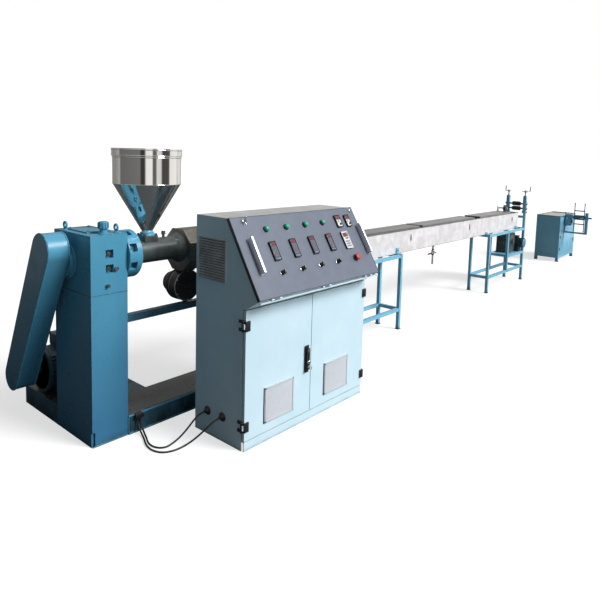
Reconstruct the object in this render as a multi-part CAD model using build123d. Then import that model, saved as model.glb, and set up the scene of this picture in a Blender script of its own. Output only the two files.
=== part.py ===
from build123d import *
import math
import os

# A rod line: an extruder with its hopper and control cabinet, a long water
# trough on two stands, a roller haul-off at the trough's end and a winder.
# Sizes are in millimetres. The working frame has its origin at the extruder
# column's front left foot, +X along the line, +Y to the back and +Z up.
# Every piece is moved to the row frame, whose origin is on the floor in the
# middle of the whole line, when it is written.

# Driving dimensions
LINE_Y = 106
LINE_HEIGHT = 1010
SHEET = 4

COLUMN_WIDTH = 214
COLUMN_DEPTH = 395
SEAM_HEIGHT = 825
GEARBOX_TOP = 1141

BASE_HEIGHT = 112
BEAM_DEPTH = 264
BASE_LENGTH = 1861
MOTOR_BASE_BACK = 815
MOTOR_BASE_LENGTH = 500

GUARD_FACE = -150
GUARD_THICKNESS = 120
GUARD_TOP_CENTRE = (246, 1050)
GUARD_TOP_RADIUS = 92
GUARD_LOW_CENTRE = (654, 251)
GUARD_LOW_RADIUS = 77

MOTOR_CENTRE = (654, 251)
MOTOR_RADIUS = 132
MOTOR_LENGTH = 360

THRUST_LENGTH = 80
THRUST_RADIUS = 134
FEED_LENGTH = 279
FEED_RADIUS = 69
CONE_LENGTH = 53
CONE_RADIUS = 96
BARREL_END = 1908
COVER_ACROSS = 247
COVER_DROP = 17
BLOWER_X = 692
BLOWER_PITCH = 375
BLOWER_Z = 761
BLOWER_RADIUS = 98
BAR_BOTTOM = 612
BAR_TOP = 655

HOPPER_X = 408
HOPPER_RADIUS = 190
HOPPER_KNUCKLE = 1400
HOPPER_RIM = 1588
HOPPER_NECK_RADIUS = 26
HOPPER_NECK_HEIGHT = 1119

CABINET_LEFT = 530
CABINET_WIDTH = 1076
CABINET_FRONT = -603
CABINET_BACK = -194
CABINET_TOP = 1242
LEDGE_HEIGHT = 778
PANEL_LOW_FRONT = -708
PANEL_LOW_HEIGHT = 844
PANEL_RUN = 247
PANEL_RISE = 402
PANEL_THICKNESS = 8
PANEL_KNUCKLE = 4.5
DOOR_THICKNESS = 18
GAP = 5

TROUGH_LEFT = 2326
TROUGH_RIGHT = 6005
TROUGH_WIDTH = 184
TROUGH_BOTTOM = 701
TROUGH_TOP = 909
TROUGH_WALL = 4

TUBE = 40
STAND_TUBE = 30
STAND_FRONT = -43
STAND_BACK = 177
STAND_1_LEFT = 2395
STAND_1_RIGHT = 3016
STAND_2_LEFT = 5010
STAND_2_RIGHT = 6120
STAND_2_MIDDLE = 5585
LOW_RAIL = 172
TALL_LEG = 890

COVER_SPANS = ((2330, 3416), (3465, 4658), (4804, 5735))
GUIDE_WHEEL_X = 5790
GUIDE_WHEEL_Z = 964
GUIDE_WHEEL_RADIUS = 42
GUIDE_PIN_RADIUS = 8
DRAIN_X = 3747
DRAIN_COCK_Z = 630

WINDER_LEFT = 7893
WINDER_WIDTH = 800
WINDER_FRONT = 32
WINDER_DEPTH = 362
WINDER_TOP = 730

CABLE_DIAMETER = 10

# Worked out from the driving dimensions
COVER_BOTTOM = LINE_HEIGHT - COVER_DROP - COVER_ACROSS / 2
CONE_START = COLUMN_WIDTH + THRUST_LENGTH + FEED_LENGTH
COVER_START = CONE_START + CONE_LENGTH
CABINET_RIGHT = CABINET_LEFT + CABINET_WIDTH
WINDER_RIGHT = WINDER_LEFT + WINDER_WIDTH
MIDDLE_X = (GUARD_FACE + WINDER_RIGHT) / 2
MIDDLE_Y = (PANEL_LOW_FRONT - PANEL_KNUCKLE + MOTOR_BASE_BACK) / 2
ROW_FRAME = Pos(-MIDDLE_X, -MIDDLE_Y, 0)


def block(low, high):
    size = [b - a for a, b in zip(low, high)]
    middle = [(a + b) / 2 for a, b in zip(low, high)]
    return Pos(*middle) * Box(*size)


def rod_x(start, length, radius):
    x, y, z = start
    return Pos(x + length / 2, y, z) * Rot(0, 90, 0) * Cylinder(radius, length)


def rod_y(start, length, radius):
    x, y, z = start
    return Pos(x, y + length / 2, z) * Rot(90, 0, 0) * Cylinder(radius, length)


def rod_z(start, length, radius):
    x, y, z = start
    return Pos(x, y, z + length / 2) * Cylinder(radius, length)


def join(shapes):
    whole = shapes[0]
    for shape in shapes[1:]:
        whole = whole + shape
    return whole


def base_frame():
    """Welded frame: a beam under the barrel and a wider stretch under the motor."""
    beam = block((COLUMN_WIDTH, 0, 0), (BASE_LENGTH, BEAM_DEPTH, BASE_HEIGHT))
    motor_base = block((0, COLUMN_DEPTH, 0), (MOTOR_BASE_LENGTH, MOTOR_BASE_BACK, BASE_HEIGHT))
    corner = block((COLUMN_WIDTH, 0, 0), (MOTOR_BASE_LENGTH, MOTOR_BASE_BACK, BASE_HEIGHT))
    return beam + motor_base + corner


def column():
    """Upright box that carries the gearbox, with a small notch at its front foot."""
    notch_width = 16
    notch_height = 84
    notch_depth = 12
    body = block((0, 0, 0), (COLUMN_WIDTH, COLUMN_DEPTH, SEAM_HEIGHT))
    return body - block((-1, -1, -1), (notch_width, notch_depth, notch_height))


def gearbox_housing():
    """Cast box with two bolt pockets in its front."""
    body = block((0, 0, SEAM_HEIGHT), (COLUMN_WIDTH, COLUMN_DEPTH, GEARBOX_TOP))
    pocket_left = 86
    pocket_size = 44
    pocket_depth = 28
    for pocket_bottom in (937, 1017):
        low = (pocket_left, -1, pocket_bottom)
        high = (pocket_left + pocket_size, pocket_depth, pocket_bottom + pocket_size)
        body = body - block(low, high)
    return body


def gearbox_fittings():
    """Two lifting eyes and the filler cap on top, level glass and drain plug in front."""
    eye_places = ((24, 314), (182, 60))
    eye_ring = 16
    eye_wire = 6
    stem = 12
    pieces = []
    for x, y in eye_places:
        shank = rod_z((x, y, GEARBOX_TOP), stem, 9)
        ring_height = GEARBOX_TOP + stem + eye_ring
        ring = Pos(x, y, ring_height) * Rot(0, 90, 0) * Torus(eye_ring, eye_wire)
        pieces.append(shank + ring)
    cap = rod_z((105, 56, GEARBOX_TOP), 28, 20) + rod_z((105, 56, GEARBOX_TOP + 28), 34, 27)
    glass = rod_y((145, -8, 956), 8, 11)
    plug = rod_y((94, -10, 872), 10, 11)
    return join(pieces + [cap, glass, plug, bearing_cover()])


def thrust_housing():
    """Round housing with bolt pockets round its foot."""
    pocket_count = 8
    pocket_depth = 36
    body = rod_x((COLUMN_WIDTH, LINE_Y, LINE_HEIGHT), THRUST_LENGTH, THRUST_RADIUS)
    for number in range(pocket_count):
        angle = (number + 0.5) * 360 / pocket_count
        pocket = Pos(28, 0, THRUST_RADIUS - pocket_depth / 2 + 2) * Box(42, 46, pocket_depth)
        place = Pos(COLUMN_WIDTH, LINE_Y, LINE_HEIGHT) * Rot(angle, 0, 0)
        body = body - place * pocket
    return body


def belt_guard():
    """Closed cover over the belt: two round ends joined by straight tangents."""
    y1, z1 = GUARD_TOP_CENTRE
    y2, z2 = GUARD_LOW_CENTRE
    r1 = GUARD_TOP_RADIUS
    r2 = GUARD_LOW_RADIUS
    span = math.hypot(y2 - y1, z2 - z1)
    lean = math.atan2(z2 - z1, y2 - y1)
    opening = math.acos((r1 - r2) / span)
    corners = []
    for y, z, r, side in ((y1, z1, r1, 1), (y2, z2, r2, 1), (y2, z2, r2, -1), (y1, z1, r1, -1)):
        angle = lean + side * opening
        corners.append((0, y + r * math.cos(angle), z + r * math.sin(angle)))
    middle = extrude(make_face(Polyline(*corners, close=True)), GUARD_THICKNESS, dir=(1, 0, 0))
    middle = Pos(GUARD_FACE, 0, 0) * middle
    top = rod_x((GUARD_FACE, y1, z1), GUARD_THICKNESS, r1)
    low = rod_x((GUARD_FACE, y2, z2), GUARD_THICKNESS, r2)
    return middle + top + low


def drive_motor():
    """Foot mounted motor behind the column, its shaft running into the guard."""
    y, z = MOTOR_CENTRE
    start = 20
    body = rod_x((start, y, z), MOTOR_LENGTH, MOTOR_RADIUS)
    foot = block((start + 60, y - 125, BASE_HEIGHT), (start + 300, y + 125, z - 90))
    flange_end = GUARD_FACE + GUARD_THICKNESS
    shaft = rod_x((flange_end, y, z), start - flange_end, 24)
    box = block((start + 90, y - 60, z + MOTOR_RADIUS - 12), (start + 230, y + 60, z + MOTOR_RADIUS + 62))
    fan_cover = rod_x((start + MOTOR_LENGTH, y, z), 90, MOTOR_RADIUS + 6)
    return join([body, foot, shaft, box, fan_cover])


def bearing_cover():
    """Round cover on the gearbox's input side, with the shaft into the guard."""
    y, z = 240, 983
    guard_back = GUARD_FACE + GUARD_THICKNESS
    return rod_x((guard_back, y, z), -guard_back, 86)


def feed_section():
    """Bare barrel between the thrust housing and the heated length."""
    start = CONE_START - FEED_LENGTH
    straight = rod_x((start, LINE_Y, LINE_HEIGHT), FEED_LENGTH, FEED_RADIUS)
    cone_middle = CONE_START + CONE_LENGTH / 2
    cone = Pos(cone_middle, LINE_Y, LINE_HEIGHT) * Rot(0, 90, 0) * Cone(FEED_RADIUS, CONE_RADIUS, CONE_LENGTH)
    nipple_x = 519
    stem_top = LINE_HEIGHT + FEED_RADIUS + 18
    stem = rod_z((nipple_x, LINE_Y, stem_top - 24), 24, 8)
    cap = rod_z((nipple_x, LINE_Y, stem_top), 18, 12)
    return straight + cone + stem + cap


def hopper_throat():
    """Square clamp block under the hopper, shaped to sit on the barrel."""
    half = 44
    block_top = LINE_HEIGHT + 90
    low = (HOPPER_X - half, LINE_Y - half, LINE_HEIGHT + 30)
    body = block(low, (HOPPER_X + half, LINE_Y + half, block_top))
    collar = rod_z((HOPPER_X, LINE_Y, block_top), HOPPER_NECK_HEIGHT - block_top, 36)
    return body + collar - rod_x((HOPPER_X - 60, LINE_Y, LINE_HEIGHT), 120, FEED_RADIUS)


def hopper_body():
    """Sheet metal shell: a cone below a short straight wall, open at the top."""
    wall = 4
    outside = [
        (HOPPER_NECK_RADIUS, HOPPER_NECK_HEIGHT),
        (HOPPER_RADIUS, HOPPER_KNUCKLE),
        (HOPPER_RADIUS, HOPPER_RIM),
    ]
    inside = [(r - wall, z) for r, z in reversed(outside)]
    outline = make_face(Polyline(*[(r, 0, z) for r, z in outside + inside], close=True))
    return Pos(HOPPER_X, LINE_Y, 0) * revolve(outline, Axis.Z)


def hopper_lid():
    """Lift-off lid with a turned-down rim."""
    clear = 2
    wall = 3
    rim_depth = 34
    radius = HOPPER_RADIUS + clear + wall
    top = rod_z((HOPPER_X, LINE_Y, HOPPER_RIM + 0.3), 9, radius)
    rim = rod_z((HOPPER_X, LINE_Y, HOPPER_RIM + 0.3 - rim_depth), rim_depth, radius)
    hollow = rod_z((HOPPER_X, LINE_Y, HOPPER_RIM - rim_depth - 1), rim_depth + 1.3, radius - wall)
    return top + rim - hollow


def barrel_cover():
    """Eight-sided cover round the heated barrel, with its end plates."""
    corner_radius = COVER_ACROSS / 2 / math.cos(math.radians(22.5))
    outline = Plane.YZ * Rot(0, 0, 22.5) * RegularPolygon(corner_radius, 8)
    return Pos(COVER_START, LINE_Y, LINE_HEIGHT - COVER_DROP) * extrude(outline, BARREL_END - COVER_START)


def die_head():
    """Clamp ring, head body and the narrow rod die at the trough's end."""
    ring = rod_x((BARREL_END, LINE_Y, LINE_HEIGHT), 60, 115)
    body = rod_x((BARREL_END + 60, LINE_Y, LINE_HEIGHT), 150, 77)
    nose = Pos(BARREL_END + 240, LINE_Y, LINE_HEIGHT) * Rot(0, 90, 0) * Cone(77, 34, 60)
    return ring + body + nose


def cooling_blower(number):
    """Blower under one heating zone: a flat drum with its motor behind."""
    x = BLOWER_X + BLOWER_PITCH * number
    drum = rod_y((x, LINE_Y - 10, BLOWER_Z), 62, BLOWER_RADIUS)
    motor = rod_y((x, LINE_Y + 52, BLOWER_Z), 110, 62)
    duct = block((x - 40, LINE_Y - 4, BLOWER_Z + 60), (x + 40, LINE_Y + 46, COVER_BOTTOM))
    return drum + motor + duct


def barrel_support():
    """Post under the barrel's far end, and the bar from the column that carries the blowers."""
    post_left = BASE_LENGTH - 140
    post = block((post_left, LINE_Y - 50, BASE_HEIGHT), (post_left + 80, LINE_Y + 70, COVER_BOTTOM))
    bar = block((COLUMN_WIDTH, LINE_Y - 10, BAR_BOTTOM), (post_left, LINE_Y + 30, BAR_TOP))
    return post + bar


def cable_inlet():
    """Small box on the beam's front, where the two cables enter from below."""
    return block((250, -26, 86), (296, 0, BASE_HEIGHT))


CABLE_ROUTES = {
    "extruder_cable_1": [
        (518, -306, 139),
        (473, -306, 139),
        (432, -303, 112),
        (397, -290, 68),
        (356, -277, 30),
        (307, -273, 10),
        (267, -271, 6),
        (235, -239, 6),
        (228, -194, 6),
        (239, -150, 6),
        (260, -109, 6),
        (276, -66, 7),
        (283, -34, 26),
        (281, -13, 58),
        (281, -13, 86),
    ],
    "extruder_cable_2": [
        (518, -431, 142),
        (474, -431, 142),
        (442, -414, 110),
        (411, -384, 66),
        (374, -352, 26),
        (327, -336, 8),
        (275, -329, 6),
        (229, -305, 6),
        (205, -257, 6),
        (206, -202, 6),
        (221, -156, 6),
        (243, -112, 6),
        (259, -68, 7),
        (266, -34, 26),
        (265, -13, 58),
        (265, -13, 86),
    ],
}


def cable(name):
    """Straight runs joined by the largest arcs that the runs leave room for."""
    points = [Vector(*place) for place in CABLE_ROUTES[name]]
    radii = []
    for before, here, after in zip(points, points[1:], points[2:]):
        first = here - before
        second = after - here
        turn = math.radians(first.get_angle(second))
        radii.append(0.45 * min(first.length, second.length) / math.tan(turn / 2))
    print(name, "radii", [round(radius) for radius in radii])
    path = FilletPolyline(*points, radius=radii)
    start = Plane(origin=points[0], z_dir=path % 0)
    tube = sweep(start * Circle(CABLE_DIAMETER / 2), path=path)
    section = math.pi * CABLE_DIAMETER ** 2 / 4
    print(name, "length", round(path.length), "volume ratio", round(tube.volume / section / path.length, 4))
    return tube


def cabinet_side(left):
    """Side wall with the sloping front edge behind the panel."""
    door_back = CABINET_FRONT + DOOR_THICKNESS + GAP
    step = PANEL_THICKNESS + 2
    slope = math.hypot(PANEL_RUN, PANEL_RISE)
    back_y = step * PANEL_RISE / slope
    back_z = -step * PANEL_RUN / slope
    low = (PANEL_LOW_FRONT + back_y, PANEL_LOW_HEIGHT + back_z)
    high = (PANEL_LOW_FRONT + PANEL_RUN + back_y, PANEL_LOW_HEIGHT + PANEL_RISE + back_z)
    outline = [
        (left, CABINET_BACK, 0),
        (left, CABINET_BACK, CABINET_TOP - SHEET),
        (left, high[0], CABINET_TOP - SHEET),
        (left, low[0], low[1]),
        (left, CABINET_FRONT, LEDGE_HEIGHT),
        (left, door_back, LEDGE_HEIGHT),
        (left, door_back, 0),
    ]
    return extrude(make_face(Polyline(*outline, close=True)), SHEET, dir=(1, 0, 0))


def cabinet_shell():
    inside_left = CABINET_LEFT + SHEET
    inside_right = CABINET_RIGHT - SHEET
    door_back = CABINET_FRONT + DOOR_THICKNESS + GAP
    nodes = {}
    louvre = block((CABINET_LEFT - 6, -446, 893), (CABINET_LEFT, -227, 1123))
    nodes["cabinet_sides"] = cabinet_side(CABINET_LEFT) + louvre + cabinet_side(CABINET_RIGHT - SHEET)
    back_low = (inside_left, CABINET_BACK - SHEET, 0)
    nodes["cabinet_back"] = block(back_low, (inside_right, CABINET_BACK, CABINET_TOP - SHEET))
    top_front = PANEL_LOW_FRONT + PANEL_RUN + 12
    top_low = (CABINET_LEFT, top_front, CABINET_TOP - SHEET)
    nodes["cabinet_top"] = block(top_low, (CABINET_RIGHT, CABINET_BACK, CABINET_TOP))
    floor_top = DOOR_BOTTOM - GAP
    floor_low = floor_top - SHEET
    front = CABINET_FRONT + 2
    floor = block((inside_left, front, floor_low), (inside_right, CABINET_BACK - SHEET, floor_top))
    plinth = block((inside_left, front, 0), (inside_right, front + SHEET, floor_low))
    nodes["cabinet_floor"] = floor + plinth
    lip = [
        (inside_left, CABINET_FRONT, LEDGE_HEIGHT),
        (inside_left, PANEL_LOW_FRONT + 12, PANEL_LOW_HEIGHT - 6),
        (inside_left, PANEL_LOW_FRONT + 16, PANEL_LOW_HEIGHT - 3),
        (inside_left, door_back, LEDGE_HEIGHT + 4),
        (inside_left, door_back, LEDGE_HEIGHT),
    ]
    lip_width = inside_right - inside_left
    lip_sheet = extrude(make_face(Polyline(*lip, close=True)), lip_width, dir=(1, 0, 0))
    nodes["cabinet_lip"] = join([lip_sheet] + panel_hinge_fixed())
    return nodes


LEFT_HINGE = (CABINET_LEFT - 7, CABINET_FRONT + 12)
RIGHT_HINGE = (CABINET_RIGHT + 7, CABINET_FRONT + 12)
HINGE_HEIGHTS = (138, 690)
KNUCKLE = 6
HALF_KNUCKLE = 14
HINGE_STRAP = 34
DOOR_BOTTOM = 58
DOOR_TOP = 772
VENT_WIDTH = 232
VENT_BOTTOM = 115
VENT_TOP = 313
LEFT_VENT_MIDDLE = 795
RIGHT_VENT_MIDDLE = 1315
LOCK_X = 1023
LOCK_AXIS_Z = 442
PANEL_HINGE = (PANEL_LOW_FRONT, PANEL_LOW_HEIGHT - 7)
PANEL_HINGE_SPOTS = (CABINET_LEFT + 120, (CABINET_LEFT + CABINET_RIGHT) / 2, CABINET_RIGHT - 120)
MOVING_KNUCKLE = 40
FIXED_KNUCKLE = 20
KNUCKLE_GAP = 0.5


def panel_hinge_fixed():
    """Pairs of fixed knuckles on the lip, one each side of a panel knuckle."""
    y, z = PANEL_HINGE
    pieces = []
    for middle in PANEL_HINGE_SPOTS:
        step = MOVING_KNUCKLE / 2 + KNUCKLE_GAP
        for left in (middle - step - FIXED_KNUCKLE, middle + step):
            knuckle = rod_x((left, y, z), FIXED_KNUCKLE, PANEL_KNUCKLE)
            leaf = block((left, y, z - 2.2), (left + FIXED_KNUCKLE, y + 17, z - 0.2))
            pieces.append(knuckle + leaf)
    return pieces


def panel_hinge_moving():
    """Knuckles on the panel's lower edge."""
    y, z = PANEL_HINGE
    pieces = []
    for middle in PANEL_HINGE_SPOTS:
        left = middle - MOVING_KNUCKLE / 2
        knuckle = rod_x((left, y, z), MOVING_KNUCKLE, PANEL_KNUCKLE)
        link = block((left, y, z), (left + MOVING_KNUCKLE, y + 4, z + 9))
        pieces.append(knuckle + link)
    return pieces


def cabinet_door(left, right, hinge, side, vent_middle):
    """Door leaf with two hinge knuckles and a raised vent plate."""
    leaf = block((left, CABINET_FRONT, DOOR_BOTTOM), (right, CABINET_FRONT + DOOR_THICKNESS, DOOR_TOP))
    vent_low = (vent_middle - VENT_WIDTH / 2, CABINET_FRONT - 7, VENT_BOTTOM)
    vent = block(vent_low, (vent_middle + VENT_WIDTH / 2, CABINET_FRONT, VENT_TOP))
    x, y = hinge
    plate_front = CABINET_FRONT - 3
    for height in HINGE_HEIGHTS:
        low = height - HALF_KNUCKLE
        high = height + HALF_KNUCKLE
        knuckle = rod_z((x, y, low), 2 * HALF_KNUCKLE, KNUCKLE)
        front = sorted((x, x + side * HINGE_STRAP))
        plate = block((front[0], plate_front, low), (front[1], CABINET_FRONT, high))
        arm = sorted((x - side * KNUCKLE, x + side * 7))
        link = block((arm[0], plate_front, low), (arm[1], y, high))
        leaf = leaf + knuckle + plate + link
    return leaf, vent


def door_hinges():
    """Fixed knuckles above and below each door knuckle, on the side walls."""
    pieces = []
    length = 16
    step = HALF_KNUCKLE + KNUCKLE_GAP
    for (x, y), wall in ((LEFT_HINGE, CABINET_LEFT), (RIGHT_HINGE, CABINET_RIGHT)):
        for height in HINGE_HEIGHTS:
            for bottom in (height - step - length, height + step):
                knuckle = rod_z((x, y, bottom), length, KNUCKLE)
                sides = sorted((x, wall))
                plate = block((sides[0], y, bottom), (sides[1], y + HINGE_STRAP, bottom + length))
                pieces.append(knuckle + plate)
    return join(pieces)


def door_lock():
    """Lock plate on the left door, and the swing handle in front of it."""
    x = LOCK_X
    plate = block((x - 13, CABINET_FRONT - 8, 313), (x + 13, CABINET_FRONT, 468))
    boss = rod_y((x, CABINET_FRONT - 14, LOCK_AXIS_Z), 5.7, 8)
    lever = block((x - 9, CABINET_FRONT - 24, 328), (x + 9, CABINET_FRONT - 14, 456))
    return plate, boss + lever


PANEL_PLANE = Plane(
    origin=(CABINET_LEFT, PANEL_LOW_FRONT, PANEL_LOW_HEIGHT),
    x_dir=(1, 0, 0),
    z_dir=(0, -PANEL_RISE, PANEL_RUN),
)
PANEL_LENGTH = math.hypot(PANEL_RUN, PANEL_RISE)
PANEL_COLUMNS = (230, 394, 558, 722)
KNOB_ROW = 123
CONTROLLER_ROW = 250
BUTTON_ROW = 384
PANEL_LOCKS = ((87, 445), (1048, 447))
METERS = ((880, 380, 50, 82), (976, 376, 44, 82), (883, 247, 62, 114))
HANDLE_ROWS = (142, 333)
EMERGENCY_STOP = (906, 125)


def on_panel(shape):
    return PANEL_PLANE.location * shape


def panel_block(u, v, width, height, depth):
    return on_panel(Pos(u, v, depth / 2) * Box(width, height, depth))


def panel_disc(u, v, radius, start, depth):
    return on_panel(Pos(u, v, start + depth / 2) * Cylinder(radius, depth))


def control_panel():
    """Sloping panel, hinged at its lower edge, with its bar handles and locks."""
    nodes = {}
    plate = Pos(CABINET_WIDTH / 2, PANEL_LENGTH / 2, -PANEL_THICKNESS / 2)
    sheet = on_panel(plate * Box(CABINET_WIDTH, PANEL_LENGTH, PANEL_THICKNESS))
    nodes["control_panel"] = join([sheet] + panel_hinge_moving())
    handles = []
    bar = 12
    reach = 32
    low, high = HANDLE_ROWS
    for u in (74, CABINET_WIDTH - 24):
        for v in HANDLE_ROWS:
            handles.append(panel_block(u, v, bar, bar, reach - bar / 2))
        handles.append(on_panel(Pos(u, (low + high) / 2, reach) * Box(bar, high - low + bar, bar)))
    nodes["panel_handles"] = join(handles)
    stop_u, stop_v = EMERGENCY_STOP
    collars = [panel_disc(u, v, 11, 0, 8) for u, v in PANEL_LOCKS]
    collars += [panel_disc(u, KNOB_ROW, 14, 0, 8) for u in PANEL_COLUMNS]
    collars.append(panel_disc(stop_u, stop_v, 17, 0, 8) - panel_disc(stop_u, stop_v, 9, -1, 12))
    collars += [panel_disc(u, BUTTON_ROW, 13, 0, 14) for u in PANEL_COLUMNS]
    nodes["panel_buttons"] = join(collars)
    depth = 10
    instruments = [panel_block(u, CONTROLLER_ROW, 46, 112, depth) for u in PANEL_COLUMNS]
    instruments += [panel_block(*place, depth) for place in METERS]
    nodes["panel_instruments"] = join(instruments)
    stem = panel_disc(stop_u, stop_v, 8.5, 8, 12)
    nodes["emergency_stop_button"] = stem + panel_disc(stop_u, stop_v, 20, 18, 14)
    for number, u in enumerate(PANEL_COLUMNS, start=1):
        knob = panel_disc(u, KNOB_ROW, 10, 8.3, 8)
        grip = on_panel(Pos(u, KNOB_ROW, 20) * Box(7, 26, 12))
        nodes[f"selector_knob_{number}"] = knob + grip
    return nodes


def cable_glands():
    """Two glands on the cabinet's left side, and the inlet box on the extruder's beam."""
    glands = [cable_inlet()]
    for name in CABLE_ROUTES:
        x, y, z = CABLE_ROUTES[name][0]
        glands.append(rod_x((x, y, z), CABINET_LEFT - x, 14))
    return join(glands)


def trough():
    """Long open channel for the water bath, with the guide wheel's bracket on its back wall."""
    front = LINE_Y - TROUGH_WIDTH / 2
    back = LINE_Y + TROUGH_WIDTH / 2
    body = block((TROUGH_LEFT, front, TROUGH_BOTTOM), (TROUGH_RIGHT, back, TROUGH_TOP))
    wall = TROUGH_WALL
    hollow_low = (TROUGH_LEFT + wall, front + wall, TROUGH_BOTTOM + wall)
    hollow = block(hollow_low, (TROUGH_RIGHT - wall, back - wall, TROUGH_TOP + 1))
    bracket_top = GUIDE_WHEEL_Z + 18
    bracket = block((GUIDE_WHEEL_X - 22, back, 860), (GUIDE_WHEEL_X + 22, back + 6, bracket_top))
    pin = rod_y((GUIDE_WHEEL_X, LINE_Y - 24, GUIDE_WHEEL_Z), back - LINE_Y + 24, GUIDE_PIN_RADIUS)
    return body - hollow + bracket + pin


def trough_covers():
    """Loose lids with turned-down edges over the trough, with gaps between."""
    covers = []
    front = LINE_Y - TROUGH_WIDTH / 2
    back = LINE_Y + TROUGH_WIDTH / 2
    for left, right in COVER_SPANS:
        top = block((left, front - 3, TROUGH_TOP), (right, back + 3, TROUGH_TOP + 18))
        under = block((left - 1, front + 12, TROUGH_TOP - 1), (right + 1, back - 12, TROUGH_TOP + 15))
        covers.append(top - under)
    return join(covers)


def drain():
    """Drain pipe with its cock, and the lever that turns it."""
    x = DRAIN_X
    y = LINE_Y - TROUGH_WIDTH / 2 + 22
    pipe_bottom = 507
    pipe = rod_z((x, y, pipe_bottom), TROUGH_BOTTOM - pipe_bottom, 9)
    cock = rod_z((x, y, DRAIN_COCK_Z - 18), 36, 15)
    pivot_start = y - 15 - 12
    stem = rod_y((x, pivot_start, DRAIN_COCK_Z), 11.9, 6)
    arm = block((x - 156, pivot_start - 5, DRAIN_COCK_Z - 6), (x + 8, pivot_start, DRAIN_COCK_Z + 6))
    return pipe + cock, stem + arm


def stand_legs(left, right, right_top, middles):
    """Upright tubes with their feet: four corners, and posts in the middle."""
    top = TROUGH_BOTTOM - STAND_TUBE
    pieces = []
    half = STAND_TUBE / 2
    for x, bottom, leg_top in [(left, 0, top), (right, 0, right_top)] + [(x, low, top) for x, low in middles]:
        for y in (STAND_FRONT, STAND_BACK):
            pieces.append(block((x - half, y, bottom), (x + half, y + STAND_TUBE, leg_top)))
    return join(pieces)


def stand_rails(left, right, rail_end):
    """Top frame under the trough and the lower rails between the legs."""
    pieces = []
    top_z = TROUGH_BOTTOM - STAND_TUBE
    half = STAND_TUBE / 2
    for y in (STAND_FRONT, STAND_BACK):
        pieces.append(block((left - half, y, top_z), (rail_end, y + STAND_TUBE, TROUGH_BOTTOM)))
        low = (left + half, y, LOW_RAIL)
        pieces.append(block(low, (right - half, y + STAND_TUBE, LOW_RAIL + STAND_TUBE)))
    for x in (left, right):
        for z in (LOW_RAIL, top_z):
            low = (x - half, STAND_FRONT + STAND_TUBE, z)
            pieces.append(block(low, (x + half, STAND_BACK, z + STAND_TUBE)))
    return pieces


HAUL_OFF_X = 6120
ROLLER_RADIUS = 28
ROLLER_FRONT = 31
ROLLER_BACK = 140
LOWER_ROLLER_Z = 951
UPPER_ROLLER_Z = 1013
SHAFT_RADIUS = 10
RUNNING_CLEARANCE = 0.05
POST_TOP = 1118
POST_SIZE = 40
SCREW_RADIUS = 8
HANDWHEEL_Z = 1178
HANDWHEEL_RADIUS = 38
CRANK_REACH = 60


def haul_off_post(y):
    """Post with a round top on one of the second stand's tall legs, and its wider foot."""
    x = HAUL_OFF_X
    half = POST_SIZE / 2
    post = block((x - half, y, TALL_LEG), (x + half, y + POST_SIZE, POST_TOP - half))
    post = post + rod_y((x, y, POST_TOP - half), POST_SIZE, half)
    foot = block((x - half - 8, y - 4, TALL_LEG), (x + half + 8, y + POST_SIZE + 4, TALL_LEG + 26))
    post = post + foot
    for z in (LOWER_ROLLER_Z, UPPER_ROLLER_Z):
        post = post - rod_y((x, y - 5, z), POST_SIZE + 10, SHAFT_RADIUS + RUNNING_CLEARANCE)
    return post - rod_z((x, y + half, POST_TOP - 50), 51, SCREW_RADIUS + RUNNING_CLEARANCE)


def nip_roller(z):
    """Rubber roller on its shaft, narrower at both ends."""
    x = HAUL_OFF_X
    end = 12
    end_radius = 22
    straight = rod_y((x, ROLLER_FRONT + end, z), ROLLER_BACK - ROLLER_FRONT - 2 * end, ROLLER_RADIUS)
    front = Pos(x, ROLLER_FRONT + end / 2, z) * Rot(-90, 0, 0) * Cone(end_radius, ROLLER_RADIUS, end)
    back = Pos(x, ROLLER_BACK - end / 2, z) * Rot(90, 0, 0) * Cone(end_radius, ROLLER_RADIUS, end)
    shaft_start = STAND_FRONT - 16
    shaft = rod_y((x, shaft_start, z), STAND_BACK + POST_SIZE + 16 - shaft_start, SHAFT_RADIUS)
    return straight + front + back + shaft


def pressing_handwheel(y, crank_angle):
    """Screw with a small handwheel and an upright crank pin."""
    x = HAUL_OFF_X
    screw_bottom = POST_TOP - 48
    screw = rod_z((x, y, screw_bottom), HANDWHEEL_Z - screw_bottom, SCREW_RADIUS)
    hub = rod_z((x, y, HANDWHEEL_Z - 9), 18, 14)
    rim = Pos(x, y, HANDWHEEL_Z) * Torus(HANDWHEEL_RADIUS, 5)
    spoke = Pos(x, y, HANDWHEEL_Z) * Box(2 * HANDWHEEL_RADIUS, 10, 6)
    turn = Pos(x, y, HANDWHEEL_Z) * Rot(0, 0, crank_angle)
    arm = turn * Pos(CRANK_REACH / 2, 0, 0) * Box(CRANK_REACH, 9, 6)
    pin = turn * Pos(CRANK_REACH, 0, 33) * Cylinder(5, 72)
    return join([screw, hub, rim, spoke, arm, pin])


def haul_off():
    """Two posts with the nip rollers between them and a handwheel on each."""
    nodes = {}
    nodes["haul_off_posts"] = haul_off_post(STAND_FRONT) + haul_off_post(STAND_BACK)
    nodes["lower_roller"] = nip_roller(LOWER_ROLLER_Z)
    nodes["upper_roller"] = nip_roller(UPPER_ROLLER_Z)
    half = POST_SIZE / 2
    nodes["front_handwheel"] = pressing_handwheel(STAND_FRONT + half, -49)
    nodes["back_handwheel"] = pressing_handwheel(STAND_BACK + half, 62)
    return nodes


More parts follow.
